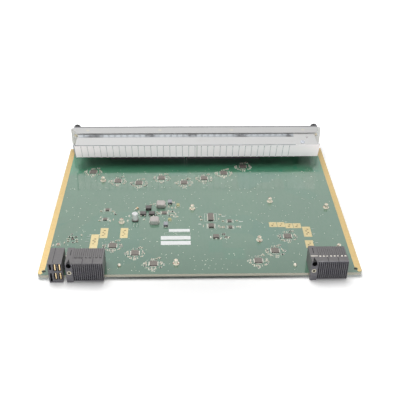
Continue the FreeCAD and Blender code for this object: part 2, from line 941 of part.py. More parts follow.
def make_lever():
    """The right ejector lever: a hub, a claw outwards and a handle along the faceplate."""
    x = lever_pivot_x
    y = face_front + lever_stand_off
    z0 = lever_bottom
    z1 = z0 + lever_height
    hub = upright(x, y, z0, lever_hub_radius, lever_height)
    half = lever_arm_width / 2
    end = x - lever_arm
    outer = y + half
    arm = plan_profile([(x, y - half), (x, outer), (end + tip_length, outer), (end, outer + lever_tip),
                        (end - tip_width, outer + lever_tip - tip_width),
                        (end + tip_length - tip_width, y - half)], z0, z1)
    toe = x + claw_reach
    claw = plan_profile([(x, y - half), (toe, y - half), (toe + claw_nose, y), (toe - claw_hook, outer),
                         (x, outer)], z0, z1)
    claw.rotate(FreeCAD.Vector(x, y, 0), FreeCAD.Vector(0, 0, 1), -claw_angle)
    lever = joined(hub, [arm, claw])
    bore = upright(x, y, z0 - 1, lever_pin_radius + shaft_clearance, lever_height + 2)
    return lever.cut(bore)


def make_lever_bracket():
    """The right lever's clevis: a plate on the faceplate with an ear above and one below the lever."""
    x = lever_pivot_x
    y = face_front + lever_stand_off
    z0 = lever_bottom - lever_play - ear_sheet
    z1 = lever_bottom + lever_height + lever_play + ear_sheet
    inner = x - clevis_width
    outer = x - clevis_clearance
    root = face_front + clevis_sheet
    clevis = block(inner, outer, face_front, root, z0, z1)
    corner = ear_nose * math.tan(math.radians(22.5))
    ears = []
    for z in (z0, z1 - ear_sheet):
        ears.append(plan_profile([(inner, root), (outer, root), (x + ear_nose, y - corner),
                                  (x + ear_nose, y + corner), (x + corner, y + ear_nose),
                                  (x - corner, y + ear_nose)], z, z + ear_sheet))
    bore = upright(x, y, z0 - 1, lever_pin_radius, z1 - z0 + 2)
    return joined(clevis, ears).cut(bore)


def make_lever_pin():
    """The right lever's pivot pin, pressed into both ears."""
    foot = lever_bottom - lever_play - ear_sheet
    length = lever_height + 2 * (lever_play + ear_sheet)
    return upright(lever_pivot_x, face_front + lever_stand_off, foot, lever_pin_radius, length)


def make_nodes():
    """Every piece of the card by name."""
    power_end = left_group_x + key_width + power_width
    left_guide = power_end + power_guide_gap
    right_guide = right_group_x
    left_signal = left_guide + guide_width
    right_signal = right_guide + guide_width
    left_jacks, right_jacks = jack_centres()
    nodes = {
        "main_board": make_board(),
        "board_screws": make_board_screws(),
        "board_nuts": make_board_nuts(),
        "faceplate": make_faceplate(),
        "hood": make_hood(),
        "hood_screw": make_hood_screw(),
        "hood_nut": make_hood_nut(),
        "finger_strip": make_finger_strip(),
        "groove_gasket": make_gasket(),
        "flange_rivets": make_rivets(),
        "jack_gang_left": make_jack_gang(left_jacks),
        "jack_gang_right": make_jack_gang(right_jacks),
        "board_bracket_left": make_bracket(-1),
        "board_bracket_right": make_bracket(1),
        "bracket_rivets": make_bracket_rivets(),
        "key_module": make_key_module(),
        "power_housing": make_power_housing(),
        "power_blades": make_power_blades(),
        "guide_module_left": make_guide_module(left_guide),
        "guide_module_right": make_guide_module(right_guide),
        "guide_bush_left": make_guide_bush(left_guide),
        "guide_bush_right": make_guide_bush(right_guide),
        "signal_housing_left": make_signal_housing(left_signal),
        "signal_housing_right": make_signal_housing(right_signal),
        "signal_wafers_left": make_signal_wafers(left_signal),
        "signal_wafers_right": make_signal_wafers(right_signal),
        "port_chips": chips(port_chip_places(), port_chip_size),
        "inductors": group([make_inductor(x, y) for x, y in inductor_places]),
        "capacitor_can": make_can(),
        "capacitor_base": make_can_base(),
        "driver_block": chips([driver_place], driver_size),
        "power_transistors": group([make_transistor(x, y) for x, y in transistor_places]),
        "tantalum_capacitors": chips(tantalum_places, tantalum_size),
        "yellow_capacitors": chips(yellow_places, yellow_size),
        "switch_controller": chips([controller_place], controller_size),
        "flash_memory": chips([memory_place], memory_size),
        "clock_buffer": chips([clock_place], clock_size),
        "logic_chips": chips(logic_places, logic_size),
        "oscillator": chips([oscillator_place], oscillator_size),
        "small_transistors": chips(small_transistor_places, small_transistor_size),
        "status_led": chips([indicator_place], indicator_size),
        "board_labels": make_labels(),
        "round_posts": make_posts(),
        "led_holder": make_led_holder(),
        "light_pipes": make_lenses(),
    }
    for name, make in (("thumbscrew_ferrule", make_ferrule), ("thumbscrew_shaft", make_shaft),
                       ("thumbscrew_knob", make_knob), ("ejector_lever", make_lever),
                       ("lever_bracket", make_lever_bracket), ("lever_pin", make_lever_pin)):
        right = make()
        nodes[name + "_right"] = right
        nodes[name + "_left"] = mirrored(right)
    return nodes


def main():
    os.makedirs("parts", exist_ok=True)
    for name, shape in make_nodes().items():
        shape.exportStep("parts/" + name + ".step")
        print(name, len(shape.Solids), shape.isValid(), round(shape.Volume, 2))


main()
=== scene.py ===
import json
import math
import random

import bmesh
import bpy
from mathutils import Matrix, Vector


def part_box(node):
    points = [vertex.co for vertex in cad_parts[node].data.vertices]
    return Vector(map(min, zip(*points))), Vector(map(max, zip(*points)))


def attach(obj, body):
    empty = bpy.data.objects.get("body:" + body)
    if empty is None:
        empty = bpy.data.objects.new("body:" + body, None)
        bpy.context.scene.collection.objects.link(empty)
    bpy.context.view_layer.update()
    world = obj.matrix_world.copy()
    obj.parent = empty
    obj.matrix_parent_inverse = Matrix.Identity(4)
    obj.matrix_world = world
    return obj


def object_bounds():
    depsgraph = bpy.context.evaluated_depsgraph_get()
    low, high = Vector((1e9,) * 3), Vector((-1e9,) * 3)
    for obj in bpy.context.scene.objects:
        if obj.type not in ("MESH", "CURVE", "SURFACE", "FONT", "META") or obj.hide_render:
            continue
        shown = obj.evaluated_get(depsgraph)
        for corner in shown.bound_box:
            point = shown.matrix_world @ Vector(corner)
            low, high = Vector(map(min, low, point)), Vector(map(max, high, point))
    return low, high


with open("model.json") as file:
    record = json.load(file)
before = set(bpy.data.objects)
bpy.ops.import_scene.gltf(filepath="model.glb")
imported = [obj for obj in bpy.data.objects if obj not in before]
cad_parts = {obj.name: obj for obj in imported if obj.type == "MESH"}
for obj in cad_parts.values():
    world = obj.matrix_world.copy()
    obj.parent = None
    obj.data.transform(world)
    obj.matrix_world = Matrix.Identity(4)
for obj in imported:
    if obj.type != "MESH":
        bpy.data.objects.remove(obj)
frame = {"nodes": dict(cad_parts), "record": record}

# The switch line card in its finish. Lengths are in metres, and mm turns a size in millimetres into them.
cad_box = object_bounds()
mm = 0.001
CARD = "card"

board_low, board_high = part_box("main_board")
near_edge = board_low.y
far_edge = board_high.y
board_top = board_high.z
half_width = board_high.x


def spot(x, y):
    """A point on the board: X in mm from its middle, and mm from its near edge."""
    return Vector((x * mm, near_edge + y * mm, board_top))


def metres(*sizes):
    """Sizes in millimetres, turned into metres."""
    return tuple(size * mm for size in sizes)


# Camera, at the photograph's viewing angle
camera_place = (-0.0143, -0.60678, 0.41411)
camera_yaw = math.radians(1.551)
camera_pitch = math.radians(34.097)
camera_roll = math.radians(0.494)
camera_lens = 61.47
camera_sensor = 36.0


def make_camera():
    """A camera that looks along +Y, turned right by its yaw, down by its pitch and round by its roll."""
    ahead = Vector((math.sin(camera_yaw) * math.cos(camera_pitch),
                    math.cos(camera_yaw) * math.cos(camera_pitch), -math.sin(camera_pitch)))
    level = Vector((math.cos(camera_yaw), -math.sin(camera_yaw), 0.0))
    upper = level.cross(ahead)
    right = level * math.cos(camera_roll) + upper * math.sin(camera_roll)
    up = upper * math.cos(camera_roll) - level * math.sin(camera_roll)
    data = bpy.data.cameras.new("camera")
    data.lens = camera_lens
    data.sensor_width = camera_sensor
    camera = bpy.data.objects.new("camera", data)
    turn = Matrix((right, up, -ahead)).transposed().to_4x4()
    camera.matrix_world = Matrix.Translation(camera_place) @ turn
    bpy.context.collection.objects.link(camera)
    bpy.context.scene.camera = camera


# Node materials

class Surface:
    """A node material round one Principled shader, in the object's own coordinates."""

    def __init__(self, name, colour, roughness, metallic=0.0, ior=1.5):
        self.material = bpy.data.materials.new(name)
        self.material.use_nodes = True
        self.tree = self.material.node_tree
        self.shader = self.tree.nodes["Principled BSDF"]
        self.shader.inputs["Base Color"].default_value = (*colour, 1.0)
        self.shader.inputs["Roughness"].default_value = roughness
        self.shader.inputs["Metallic"].default_value = metallic
        self.shader.inputs["IOR"].default_value = ior
        self.place = self.tree.nodes.new("ShaderNodeTexCoord").outputs["Object"]
        self.colour = None
        self.base = colour

    def node(self, kind, **inputs):
        made = self.tree.nodes.new(kind)
        for key, value in inputs.items():
            socket = made.inputs[key.replace("_", " ")]
            if hasattr(value, "links"):
                self.tree.links.new(value, socket)
            else:
                socket.default_value = value
        return made

    def parts(self, vector=None):
        """X, Y and Z of a vector; without one, of the object's coordinates."""
        return self.node("ShaderNodeSeparateXYZ", Vector=vector or self.place).outputs

    def normal(self):
        """X, Y and Z of the way that the surface faces."""
        geometry = self.tree.nodes.new("ShaderNodeNewGeometry")
        return self.parts(geometry.outputs["Normal"])

    def stretched(self, x, y, z):
        """The object's coordinates, scaled along each axis."""
        mapping = self.node("ShaderNodeMapping", Vector=self.place)
        mapping.inputs["Scale"].default_value = (x, y, z)
        return mapping.outputs["Vector"]

    def noise(self, scale, detail=3.0, vector=None):
        made = self.node("ShaderNodeTexNoise", Vector=vector or self.place, Scale=scale, Detail=detail)
        return made.outputs["Fac"]

    def cells(self, scale, vector=None, feature="F1", metric="EUCLIDEAN", randomness=1.0):
        made = self.node("ShaderNodeTexVoronoi", Vector=vector or self.place, Scale=scale)
        made.feature = feature
        if feature != "DISTANCE_TO_EDGE":
            made.distance = metric
        made.inputs["Randomness"].default_value = randomness
        return made

    def ramp(self, value, low, high, start=0.0, end=1.0):
        """The value stretched so that low becomes start and high becomes end."""
        made = self.node("ShaderNodeMapRange", Value=value, From_Min=low, From_Max=high,
                         To_Min=start, To_Max=end)
        return made.outputs["Result"]

    def maths(self, operation, a, b=0.5):
        made = self.tree.nodes.new("ShaderNodeMath")
        made.operation = operation
        for socket, value in zip(made.inputs, (a, b)):
            if hasattr(value, "links"):
                self.tree.links.new(value, socket)
            else:
                socket.default_value = value
        return made.outputs["Value"]

    def tint(self, factor, colour, strength=1.0):
        """Blends a colour over what the surface has so far, where the factor says."""
        made = self.tree.nodes.new("ShaderNodeMix")
        made.data_type = "RGBA"
        self.tree.links.new(self.maths("MULTIPLY", factor, strength), made.inputs["Factor"])
        if self.colour:
            self.tree.links.new(self.colour, made.inputs["A"])
        else:
            made.inputs["A"].default_value = (*self.base, 1.0)
        made.inputs["B"].default_value = (*colour, 1.0)
        self.colour = made.outputs["Result"]
        self.tree.links.new(self.colour, self.shader.inputs["Base Color"])

    def rough(self, value):
        self.tree.links.new(value, self.shader.inputs["Roughness"])

    def bump(self, height, distance, strength=1.0):
        made = self.node("ShaderNodeBump", Height=height, Distance=distance, Strength=strength)
        earlier = self.shader.inputs["Normal"].links
        if earlier:
            self.tree.links.new(earlier[0].from_socket, made.inputs["Normal"])
        self.tree.links.new(made.outputs["Normal"], self.shader.inputs["Normal"])


def upward(surface):
    """1 on faces that point up or down, 0 on the sides."""
    return surface.ramp(surface.maths("ABSOLUTE", surface.normal()["Z"]), 0.5, 0.6)


def facing_near(surface):
    """1 on faces that point towards the board's near edge, 0 elsewhere."""
    return surface.ramp(surface.normal()["Y"], -0.5, -0.8)


def zone(surface, start, full):
    """0 at the start and 1 where the zone is full, both in mm from the board's near edge."""
    return surface.ramp(surface.parts()["Y"], near_edge + start * mm, near_edge + full * mm)


# Greener patches of the mask; those from 178 mm on, by the hood's foot, are painted light in the hood's
# shade: X, distance from the near edge, width, depth, strength
mask_patches = [
    (113.0, 186.6, 5.0, 7.0, 0.8), (95.7, 179.9, 4.0, 5.0, 0.7), (119.9, 180.8, 8.0, 3.5, 0.6),
    (135.0, 179.5, 9.0, 5.0, 0.6), (-136.0, 185.5, 5.0, 9.0, 0.6), (-132.7, 178.5, 6.0, 6.0, 0.5),
    (15.5, 41.0, 15.0, 21.0, 0.2), (33.0, 29.5, 23.0, 20.0, 0.2),
]
patch_colour = (0.035, 0.235, 0.145)

# Painted shade in a darker zone at the near edge, and painted light in a greener, brighter zone under the
# hood where the board lies in shade, as zone() takes them
near_shade_zone = (55.0, 5.0)
painted_near_shade = (0.055, 0.145, 0.088)
far_light_zone = (170.0, 186.0)
painted_far_light = (0.07, 0.34, 0.185)

# The board's cut sides, and the layers that show there
laminate = (0.27, 0.255, 0.19)
layer_colour = (0.18, 0.175, 0.13)
layer_rate = 11000.0


def make_solder_mask():
    """Glossy green mask over the laminate, with copper areas, faint traces and pale cut edges, painted
    shade near the near edge and painted light under the hood.
    """
    s = Surface("solder_mask", (0.135, 0.24, 0.17), 0.07, ior=2.1)
    place = s.parts()
    s.tint(s.ramp(s.noise(9.0, 4.0), 0.35, 0.7), (0.13, 0.245, 0.175))
    planes = s.cells(26.0, metric="CHEBYCHEV", randomness=0.9)
    shade = s.node("ShaderNodeSeparateColor", Color=planes.outputs["Color"])
    s.tint(s.ramp(shade.outputs["Red"], 0.8, 0.82), (0.07, 0.22, 0.17), 0.35)
    s.tint(s.ramp(shade.outputs["Green"], 0.7, 0.72), (0.14, 0.26, 0.18), 0.4)
    traces = s.cells(310.0, s.stretched(1.0, 0.35, 1.0), "DISTANCE_TO_EDGE", randomness=0.25)
    s.tint(s.ramp(traces.outputs["Distance"], 0.03, 0.06, 1.0, 0.0), (0.085, 0.22, 0.14), 0.22)
    # Painted shade along the near edge.
    s.tint(zone(s, *near_shade_zone), painted_near_shade, 0.6)
    # Greener patches; the ones by the hood's foot are painted light.
    for x, y, width, depth, strength in mask_patches:
        across = s.maths("DIVIDE", s.maths("SUBTRACT", place["X"], x * mm), width / 2 * mm)
        along = s.maths("DIVIDE", s.maths("SUBTRACT", place["Y"], near_edge + y * mm), depth / 2 * mm)
        reach = s.maths("MAXIMUM", s.maths("ABSOLUTE", across), s.maths("ABSOLUTE", along))
        s.tint(s.ramp(reach, 1.0, 0.75), patch_colour, strength)
    # Painted light on the board in the shade under the hood.
    s.tint(zone(s, *far_light_zone), painted_far_light, 0.7)
    dots = s.cells(330.0)
    s.tint(s.ramp(dots.outputs["Distance"], 0.1, 0.16, 1.0, 0.0), (0.3, 0.38, 0.26), 0.16)
    s.rough(s.ramp(s.noise(60.0), 0.3, 0.7, 0.055, 0.095))
    s.bump(s.noise(700.0, 2.0), 0.00002, 0.15)
    side = s.maths("SUBTRACT", 1.0, upward(s))
    s.tint(side, laminate)
    layers = s.maths("SINE", s.maths("MULTIPLY", place["Z"], layer_rate))
    s.tint(s.maths("MULTIPLY", side, s.ramp(layers, 0.2, 0.8)), layer_colour, 0.5)
    return s.material


# Painted light: a lighter near face of the hood and its fingers
painted_light_near_face = (0.98, 0.89, 0.935)

# The wall's end beside the hood, from the card's middle; beyond it the faceplate's near face carries
# painted light
wall_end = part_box("hood")[1].x

# Painted shade on the hood's near face behind the finger comb, seen in the gaps between the fingers, as far
# as the comb reaches
comb_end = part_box("finger_strip")[1].x
painted_gap_shade = (0.26, 0.28, 0.32)

# Painted shade: the dark line along the bend at the rim of the faceplate's flange starts at this point
rim_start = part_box("faceplate")[1] - Vector((0.0, 4.4, 2.4)) * mm
painted_rim_shade = (0.13, 0.13, 0.14)

# Dark smudges in the groove beside the flange: X and half width in mm
smudges = [(-118.0, 14.0), (-53.5, 10.0), (-5.0, 9.0), (52.0, 12.0), (106.5, 6.0)]
smudge_colour = (0.05, 0.05, 0.055)
foam_colour = (0.16, 0.17, 0.18)


def make_sheet(name, colour, roughness, stain, groove=False, painted_light=None, painted_light_from=0.0, painted_shade_to=None,
               rim_from=None):
    """Plated sheet metal: fine brushing, faint clouds and light stains; where asked, painted light on near
    faces, and painted shade behind the finger comb and along the flange's rim.
    """
    s = Surface(name, colour, roughness, metallic=0.2)
    place = s.parts()
    darker = tuple(c * 0.84 for c in colour)
    s.tint(s.ramp(s.noise(14.0, 5.0), 0.35, 0.75), darker, 0.35)
    s.tint(s.ramp(s.noise(60.0, 4.0), 0.6, 0.78), stain, 0.3)
    # Painted light on the faces towards the near edge, beyond the given distance from the middle.
    if painted_light:
        outside = s.ramp(s.maths("ABSOLUTE", place["X"]), painted_light_from, painted_light_from + 1 * mm)
        s.tint(s.maths("MULTIPLY", facing_near(s), outside), painted_light)
    # Painted shade on the near face behind the finger comb.
    if painted_shade_to:
        behind = s.ramp(place["X"], painted_shade_to, painted_shade_to - 1 * mm)
        s.tint(s.maths("MULTIPLY", facing_near(s), behind), painted_gap_shade)
    # Painted shade along the bend at the flange's rim.
    if rim_from:
        beyond = s.ramp(place["Y"], rim_from.y, rim_from.y + 0.4 * mm)
        at_top = s.ramp(place["Z"], rim_from.z, rim_from.z + 0.5 * mm)
        s.tint(s.maths("MULTIPLY", beyond, at_top), painted_rim_shade, 0.85)
    brushing = s.noise(40.0, 3.0, s.stretched(1.0, 60.0, 60.0))
    s.rough(s.ramp(brushing, 0.3, 0.7, roughness - 0.05, roughness + 0.07))
    s.bump(brushing, 0.00001, 0.3)
    if groove:
        torn = s.ramp(s.noise(230.0, 4.0, s.stretched(0.22, 1.0, 1.0)), 0.32, 0.62)
        for x, reach in smudges:
            off = s.maths("ABSOLUTE", s.maths("SUBTRACT", place["X"], x * mm))
            inside = s.ramp(off, 0.0, reach * mm, 1.0, 0.0)
            s.tint(s.ramp(s.maths("MULTIPLY", inside, torn), 0.08, 0.55), smudge_colour, 0.8)
        s.tint(s.ramp(s.noise(90.0, 3.0), 0.55, 0.75), foam_colour, 0.4)
    return s.material


def make_bright(name, colour, roughness, metallic, spots=None):
    """Bright plated metal with small scratches, and spots of another colour if asked."""
    s = Surface(name, colour, roughness, metallic=metallic)
    if spots:
        s.tint(s.ramp(s.noise(420.0, 2.0), 0.56, 0.62), spots, 0.8)
    s.tint(s.ramp(s.noise(500.0, 3.0), 0.5, 0.75), tuple(c * 0.6 for c in colour), 0.35)
    s.rough(s.ramp(s.noise(900.0, 2.0), 0.3, 0.7, roughness - 0.06, roughness + 0.1))
    s.bump(s.noise(1500.0, 2.0), 0.00002, 0.2)
    return s.material


# The slots of the signal shrouds, with painted shade on their side walls
slot_depth = 1.8 * mm
painted_slot_shade = (0.012, 0.012, 0.02)


def inside_slots(surface):
    """1 on the side walls of the shrouds' slots, 0 elsewhere."""
    place = surface.parts()
    sideways = surface.ramp(surface.maths("ABSOLUTE", surface.normal()["X"]), 0.5, 0.8)
    total = 0.0
    for side in ("left", "right"):
        low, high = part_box("signal_housing_" + side)
        off = surface.maths("ABSOLUTE", surface.maths("SUBTRACT", place["X"], (low.x + high.x) / 2))
        half = (high.x - low.x) / 2
        total = surface.maths("ADD", total, surface.ramp(off, half - 0.2 * mm, half - 0.4 * mm))
    shallow = surface.ramp(place["Y"], low.y + slot_depth + 0.2 * mm, low.y + slot_depth)
    return surface.maths("MULTIPLY", surface.maths("MULTIPLY", sideways, total), shallow)


def make_moulded(name, colour, roughness, shaded_ends=None, fleck=0.25, slotted=False):
    """Moulded plastic or epoxy: a fine grain, small colour flecks and lighter patches of wear, with painted
    shade on the faces towards the near edge and on the slots' side walls where asked.
    """
    s = Surface(name, colour, roughness)
    # Painted shade on the faces towards the near edge.
    if shaded_ends:
        s.tint(facing_near(s), shaded_ends)
    # Painted shade on the slots' side walls.
    if slotted:
        s.tint(inside_slots(s), painted_slot_shade)
    lighter = tuple(min(1.0, c * 1.5 + 0.01) for c in colour)
    s.tint(s.ramp(s.noise(300.0, 4.0), 0.45, 0.7), lighter, fleck)
    s.tint(s.ramp(s.noise(45.0, 3.0), 0.45, 0.75), tuple(c * 0.75 for c in colour), 0.5)
    s.rough(s.ramp(s.noise(250.0, 2.0), 0.3, 0.7, roughness - 0.06, roughness + 0.08))
    s.bump(s.noise(2200.0, 2.0), 0.00003, 0.25)
    return s.material


def make_paper():
    """White label paper, a little uneven."""
    s = Surface("paper", (0.82, 0.84, 0.835), 0.5)
    s.tint(s.ramp(s.noise(400.0, 4.0), 0.45, 0.7), (0.6, 0.62, 0.62), 0.3)
    s.bump(s.noise(2500.0, 3.0), 0.00002, 0.3)
    return s.material


def make_clear():
    """Clear moulded light pipe."""
    s = Surface("clear_plastic", (0.9, 0.94, 0.94), 0.12, ior=1.49)
    s.shader.inputs["Transmission Weight"].default_value = 0.7
    s.tint(s.ramp(s.noise(300.0, 2.0), 0.4, 0.7), (0.8, 0.86, 0.86), 0.4)
    s.rough(s.ramp(s.noise(500.0), 0.3, 0.7, 0.08, 0.18))
    return s.material


# Bright plated metals: colour, roughness, metallic, and the colour of their spots
bright_metals = {
    "bright_screw": ((0.86, 0.8, 0.68), 0.25, 0.4, (0.25, 0.1, 0.07)),
    "hood_bolt": ((0.62, 0.65, 0.7), 0.25, 0.8),
    "rivet_metal": ((0.56, 0.545, 0.48), 0.45, 0.2),
    "contact_metal": ((0.86, 0.66, 0.38), 0.25, 0.7),
    "bush_metal": ((0.5, 0.47, 0.38), 0.35, 1.0),
    "can_metal": ((0.66, 0.67, 0.67), 0.3, 0.35),
    "pad_gold": ((0.56, 0.47, 0.26), 0.4, 0.6),
    "edge_gold": ((0.61, 0.45, 0.205), 0.4, 0.6),
    "solder": ((0.78, 0.76, 0.68), 0.35, 0.4),
    "contact_tin": ((0.85, 0.8, 0.72), 0.35, 0.3),
}

# Plastics, epoxies and the like: colour, roughness, and the colour of their near ends, which is painted
# shade
plastics = {
    "black_plastic": ((0.018, 0.018, 0.02), 0.42),
    "chip_plastic": ((0.175, 0.155, 0.135), 0.5, (0.03, 0.028, 0.028)),
    "ferrite": ((0.47, 0.43, 0.41), 0.5, (0.25, 0.27, 0.245)),
    "yellow_epoxy": ((0.42, 0.4, 0.2), 0.45),
    "dark_epoxy": ((0.33, 0.34, 0.37), 0.4, (0.03, 0.03, 0.035)),
    "dark_case": ((0.11, 0.1, 0.095), 0.45, (0.015, 0.014, 0.014)),
    "led_red": ((0.66, 0.58, 0.5), 0.3),
    "red_core": ((0.3, 0.05, 0.04), 0.3),
    "mark_dark": ((0.1, 0.075, 0.04), 0.5),
    "ceramic": ((0.53, 0.49, 0.38), 0.4),
    "tan_body": ((0.55, 0.36, 0.18), 0.4),
    "resistor": ((0.05, 0.05, 0.052), 0.4),
    "via_pad": ((0.62, 0.7, 0.56), 0.35),
    "cell_rib": ((0.01, 0.011, 0.02), 0.55),
    "cell_shade": ((0.004, 0.004, 0.006), 0.7),
    "pale_edge": ((0.24, 0.235, 0.25), 0.45),
}


def make_materials():
    """Every material by name; the names of the record's slots are among them."""
    made = {name: make_bright(name, *settings) for name, settings in bright_metals.items()}
    for name, settings in plastics.items():
        made[name] = make_moulded(name, *settings)
    made["connector_plastic"] = make_moulded("connector_plastic", (0.135, 0.128, 0.13), 0.45,
                                             (0.066, 0.064, 0.075), slotted=True)
    made["white_print"] = make_moulded("white_print", (0.62, 0.66, 0.6), 0.5, fleck=0.1)
    # The faceplate, the hood and the spring sheet carry painted light on their near faces.
    made["plated_sheet"] = make_sheet("plated_sheet", (0.49, 0.49, 0.485), 0.5, (0.41, 0.4, 0.38),
                                      painted_light=(0.72, 0.72, 0.71), painted_light_from=wall_end, rim_from=rim_start)
    made["hood_sheet"] = make_sheet("hood_sheet", (0.56, 0.56, 0.555), 0.5, (0.47, 0.46, 0.44),
                                    painted_light=painted_light_near_face, painted_shade_to=comb_end)
    made["spring_sheet"] = make_sheet("spring_sheet", (0.52, 0.52, 0.515), 0.5, (0.46, 0.46, 0.46),
                                      painted_light=painted_light_near_face)
    made["gasket_sheet"] = make_sheet("gasket_sheet", (0.34, 0.362, 0.382), 0.45, (0.28, 0.29, 0.3),
                                      groove=True)
    made["solder_mask"] = make_solder_mask()
    made["paper"] = make_paper()
    made["clear_plastic"] = make_clear()
    return made


materials = make_materials()


# Mesh helpers

def add_walls(bm, below, above):
    """Faces all round between two rings with the same number of corners."""
    for i in range(len(below)):
        j = (i + 1) % len(below)
        bm.faces.new((below[i], below[j], above[j], above[i]))


def add_box(bm, low, high, bevel=0.0):
    """A box between two corners; a bevel draws in its upper rim."""
    x0, y0, z0 = low
    x1, y1, z1 = high
    rings = [[(x0, y0, z0), (x1, y0, z0), (x1, y1, z0), (x0, y1, z0)]]
    if bevel:
        z = z1 - bevel
        rings.append([(x0, y0, z), (x1, y0, z), (x1, y1, z), (x0, y1, z)])
    x0, x1 = x0 + bevel, x1 - bevel
    y0, y1 = y0 + bevel, y1 - bevel
    rings.append([(x0, y0, z1), (x1, y0, z1), (x1, y1, z1), (x0, y1, z1)])
    loops = [[bm.verts.new(p) for p in ring] for ring in rings]
    for below, above in zip(loops, loops[1:]):
        add_walls(bm, below, above)
    bm.faces.new(loops[0][::-1])
    bm.faces.new(loops[-1])


def add_turned_box(bm, centre, size, turn=0.0, bevel=0.0):
    """A box on a centre of its underside, turned about the upright axis."""
    part = bmesh.new()
    w, d, h = size
    add_box(part, (-w / 2, -d / 2, 0.0), (w / 2, d / 2, h), bevel)
    place = Matrix.Translation(centre) @ Matrix.Rotation(turn, 4, "Z")
    part.transform(place)
    copied = {v: bm.verts.new(v.co) for v in part.verts}
    for face in part.faces:
        bm.faces.new([copied[v] for v in face.verts])
    part.free()


def add_round(bm, centre, radius, length, sides, along_y=False):
    """A low round pad that stands on its centre, or the inner side of a round hole along Y."""
    rings = []
    for reach in (0.0, length):
        ring = []
        for i in range(sides):
            angle = 2 * math.pi * i / sides
            across = radius * math.cos(angle)
            up = radius * math.sin(angle)
            offset = Vector((across, reach, up) if along_y else (across, up, reach))
            ring.append(bm.verts.new(centre + offset))
        rings.append(ring)
    add_walls(bm, *rings)
    bm.faces.new(rings[1])
    if not along_y:
        bm.faces.new(rings[0][::-1])


def finish_piece(name, bm, material):
    """Turns a mesh into a piece that rides on the card."""
    mesh = bpy.data.meshes.new(name)
    bm.to_mesh(mesh)
    bm.free()
    mesh.materials.append(materials[material])
    piece = bpy.data.objects.new(name, mesh)
    bpy.context.collection.objects.link(piece)
    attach(piece, CARD)


def solids(node):
    """The lowest and highest corner of each separate solid of a CAD node."""
    bm = bmesh.new()
    bm.from_mesh(frame["nodes"][node].data)
    bmesh.ops.remove_doubles(bm, verts=bm.verts, dist=1e-6)
    left = set(bm.verts)
    boxes = []
    while left:
        stack = [left.pop()]
        found = []
        while stack:
            v = stack.pop()
            found.append(v.co.copy())
            for edge in v.link_edges:
                other = edge.other_vert(v)
                if other in left:
                    left.remove(other)
                    stack.append(other)
        low = Vector([min(p[i] for p in found) for i in range(3)])
        high = Vector([max(p[i] for p in found) for i in range(3)])
        boxes.append((low, high))
    bm.free()
    boxes.sort(key=lambda b: (round(b[0].x, 5), round(b[0].y, 5)))
    return boxes


# CAD nodes get their finish here

own_materials = {
    "groove_gasket": "gasket_sheet", "hood": "hood_sheet", "hood_screw": "hood_bolt",
    "flange_rivets": "rivet_metal", "bracket_rivets": "spring_sheet", "power_transistors": "dark_case",
    "thumbscrew_ferrule_left": "hood_bolt", "thumbscrew_ferrule_right": "hood_bolt",
    "driver_block": "dark_case",
}


def dress_nodes():
    """Gives each CAD node the material of its slot in the record, or its own."""
    for part in frame["record"]["subparts"]:
        node = part["node"]
        name = own_materials.get(node, part["material_slot"])
        data = frame["nodes"][node].data
        data.materials.clear()
        data.materials.append(materials[name])


# Copper, gold and print on the board

film = 0.03 * mm
plating_width = 5.8 * mm

# The strip's corner: mm in from the side edge, and mm from the near edge
strip_corner = [(0.0, 3.6), (0.3, 2.2), (1.2, 1.3), (2.6, 1.1), (3.6, 1.7), (4.1, 2.6)]

# The strip's bite round the corner hole, in mm and degrees
hole_inset = 5.4
bite_radius = 2.2
bite_start = -70
bite_sweep = 170
bite_steps = 8
bite_end = 0.8

# Bare pads: X, distance from the near edge, width, depth
gold_pads = [
    (-94.8, 63.8, 7.6, 16.6), (-74.8, 63.6, 7.6, 16.6), (-103.1, 50.5, 7.6, 22.0), (75.1, 75.9, 7.7, 8.4),
    (83.3, 75.8, 7.7, 8.4), (91.3, 73.8, 7.7, 8.4), (99.4, 73.7, 7.7, 8.4), (108.1, 63.5, 8.0, 16.8),
    (107.4, 43.4, 7.8, 12.0),
]

# Press marks on the pads, in mm and radians
deep_pad = 12
mark_length = 1.5
mark_step = 2.6
mark_lean = 0.7
mark_jitter = 0.3
mark_scale = (0.9, 1.3)
mark_turn = 0.5


def plating_outline():
    """Half outline of the right strip: mm in from the side edge, and mm from the near edge."""
    points = list(strip_corner)
    for i in range(bite_steps + 1):
        angle = math.radians(bite_start + bite_sweep * i / bite_steps)
        inward = hole_inset - bite_radius * math.cos(angle)
        points.append((inward, hole_inset + bite_radius * math.sin(angle)))
    return points + [(plating_width / mm, hole_inset + bite_radius + bite_end)]


def make_edge_plating():
    """Gold strips along both side edges of the board, with a bite round each corner hole."""
    bm = bmesh.new()
    for side in (-1, 1):
        points = [(side * half_width, far_edge)]
        for inward, along in plating_outline():
            points.append((side * (half_width - inward * mm), near_edge + along * mm))
        points.append((side * (half_width - plating_width), far_edge))
        lower = [bm.verts.new((x, y, board_top)) for x, y in points]
        upper = [bm.verts.new((x, y, board_top + film)) for x, y in points]
        bm.faces.new(upper)
        bm.faces.new(lower[::-1])
        add_walls(bm, lower, upper)
    bmesh.ops.recalc_face_normals(bm, faces=bm.faces)
    finish_piece("edge_plating", bm, "edge_gold")


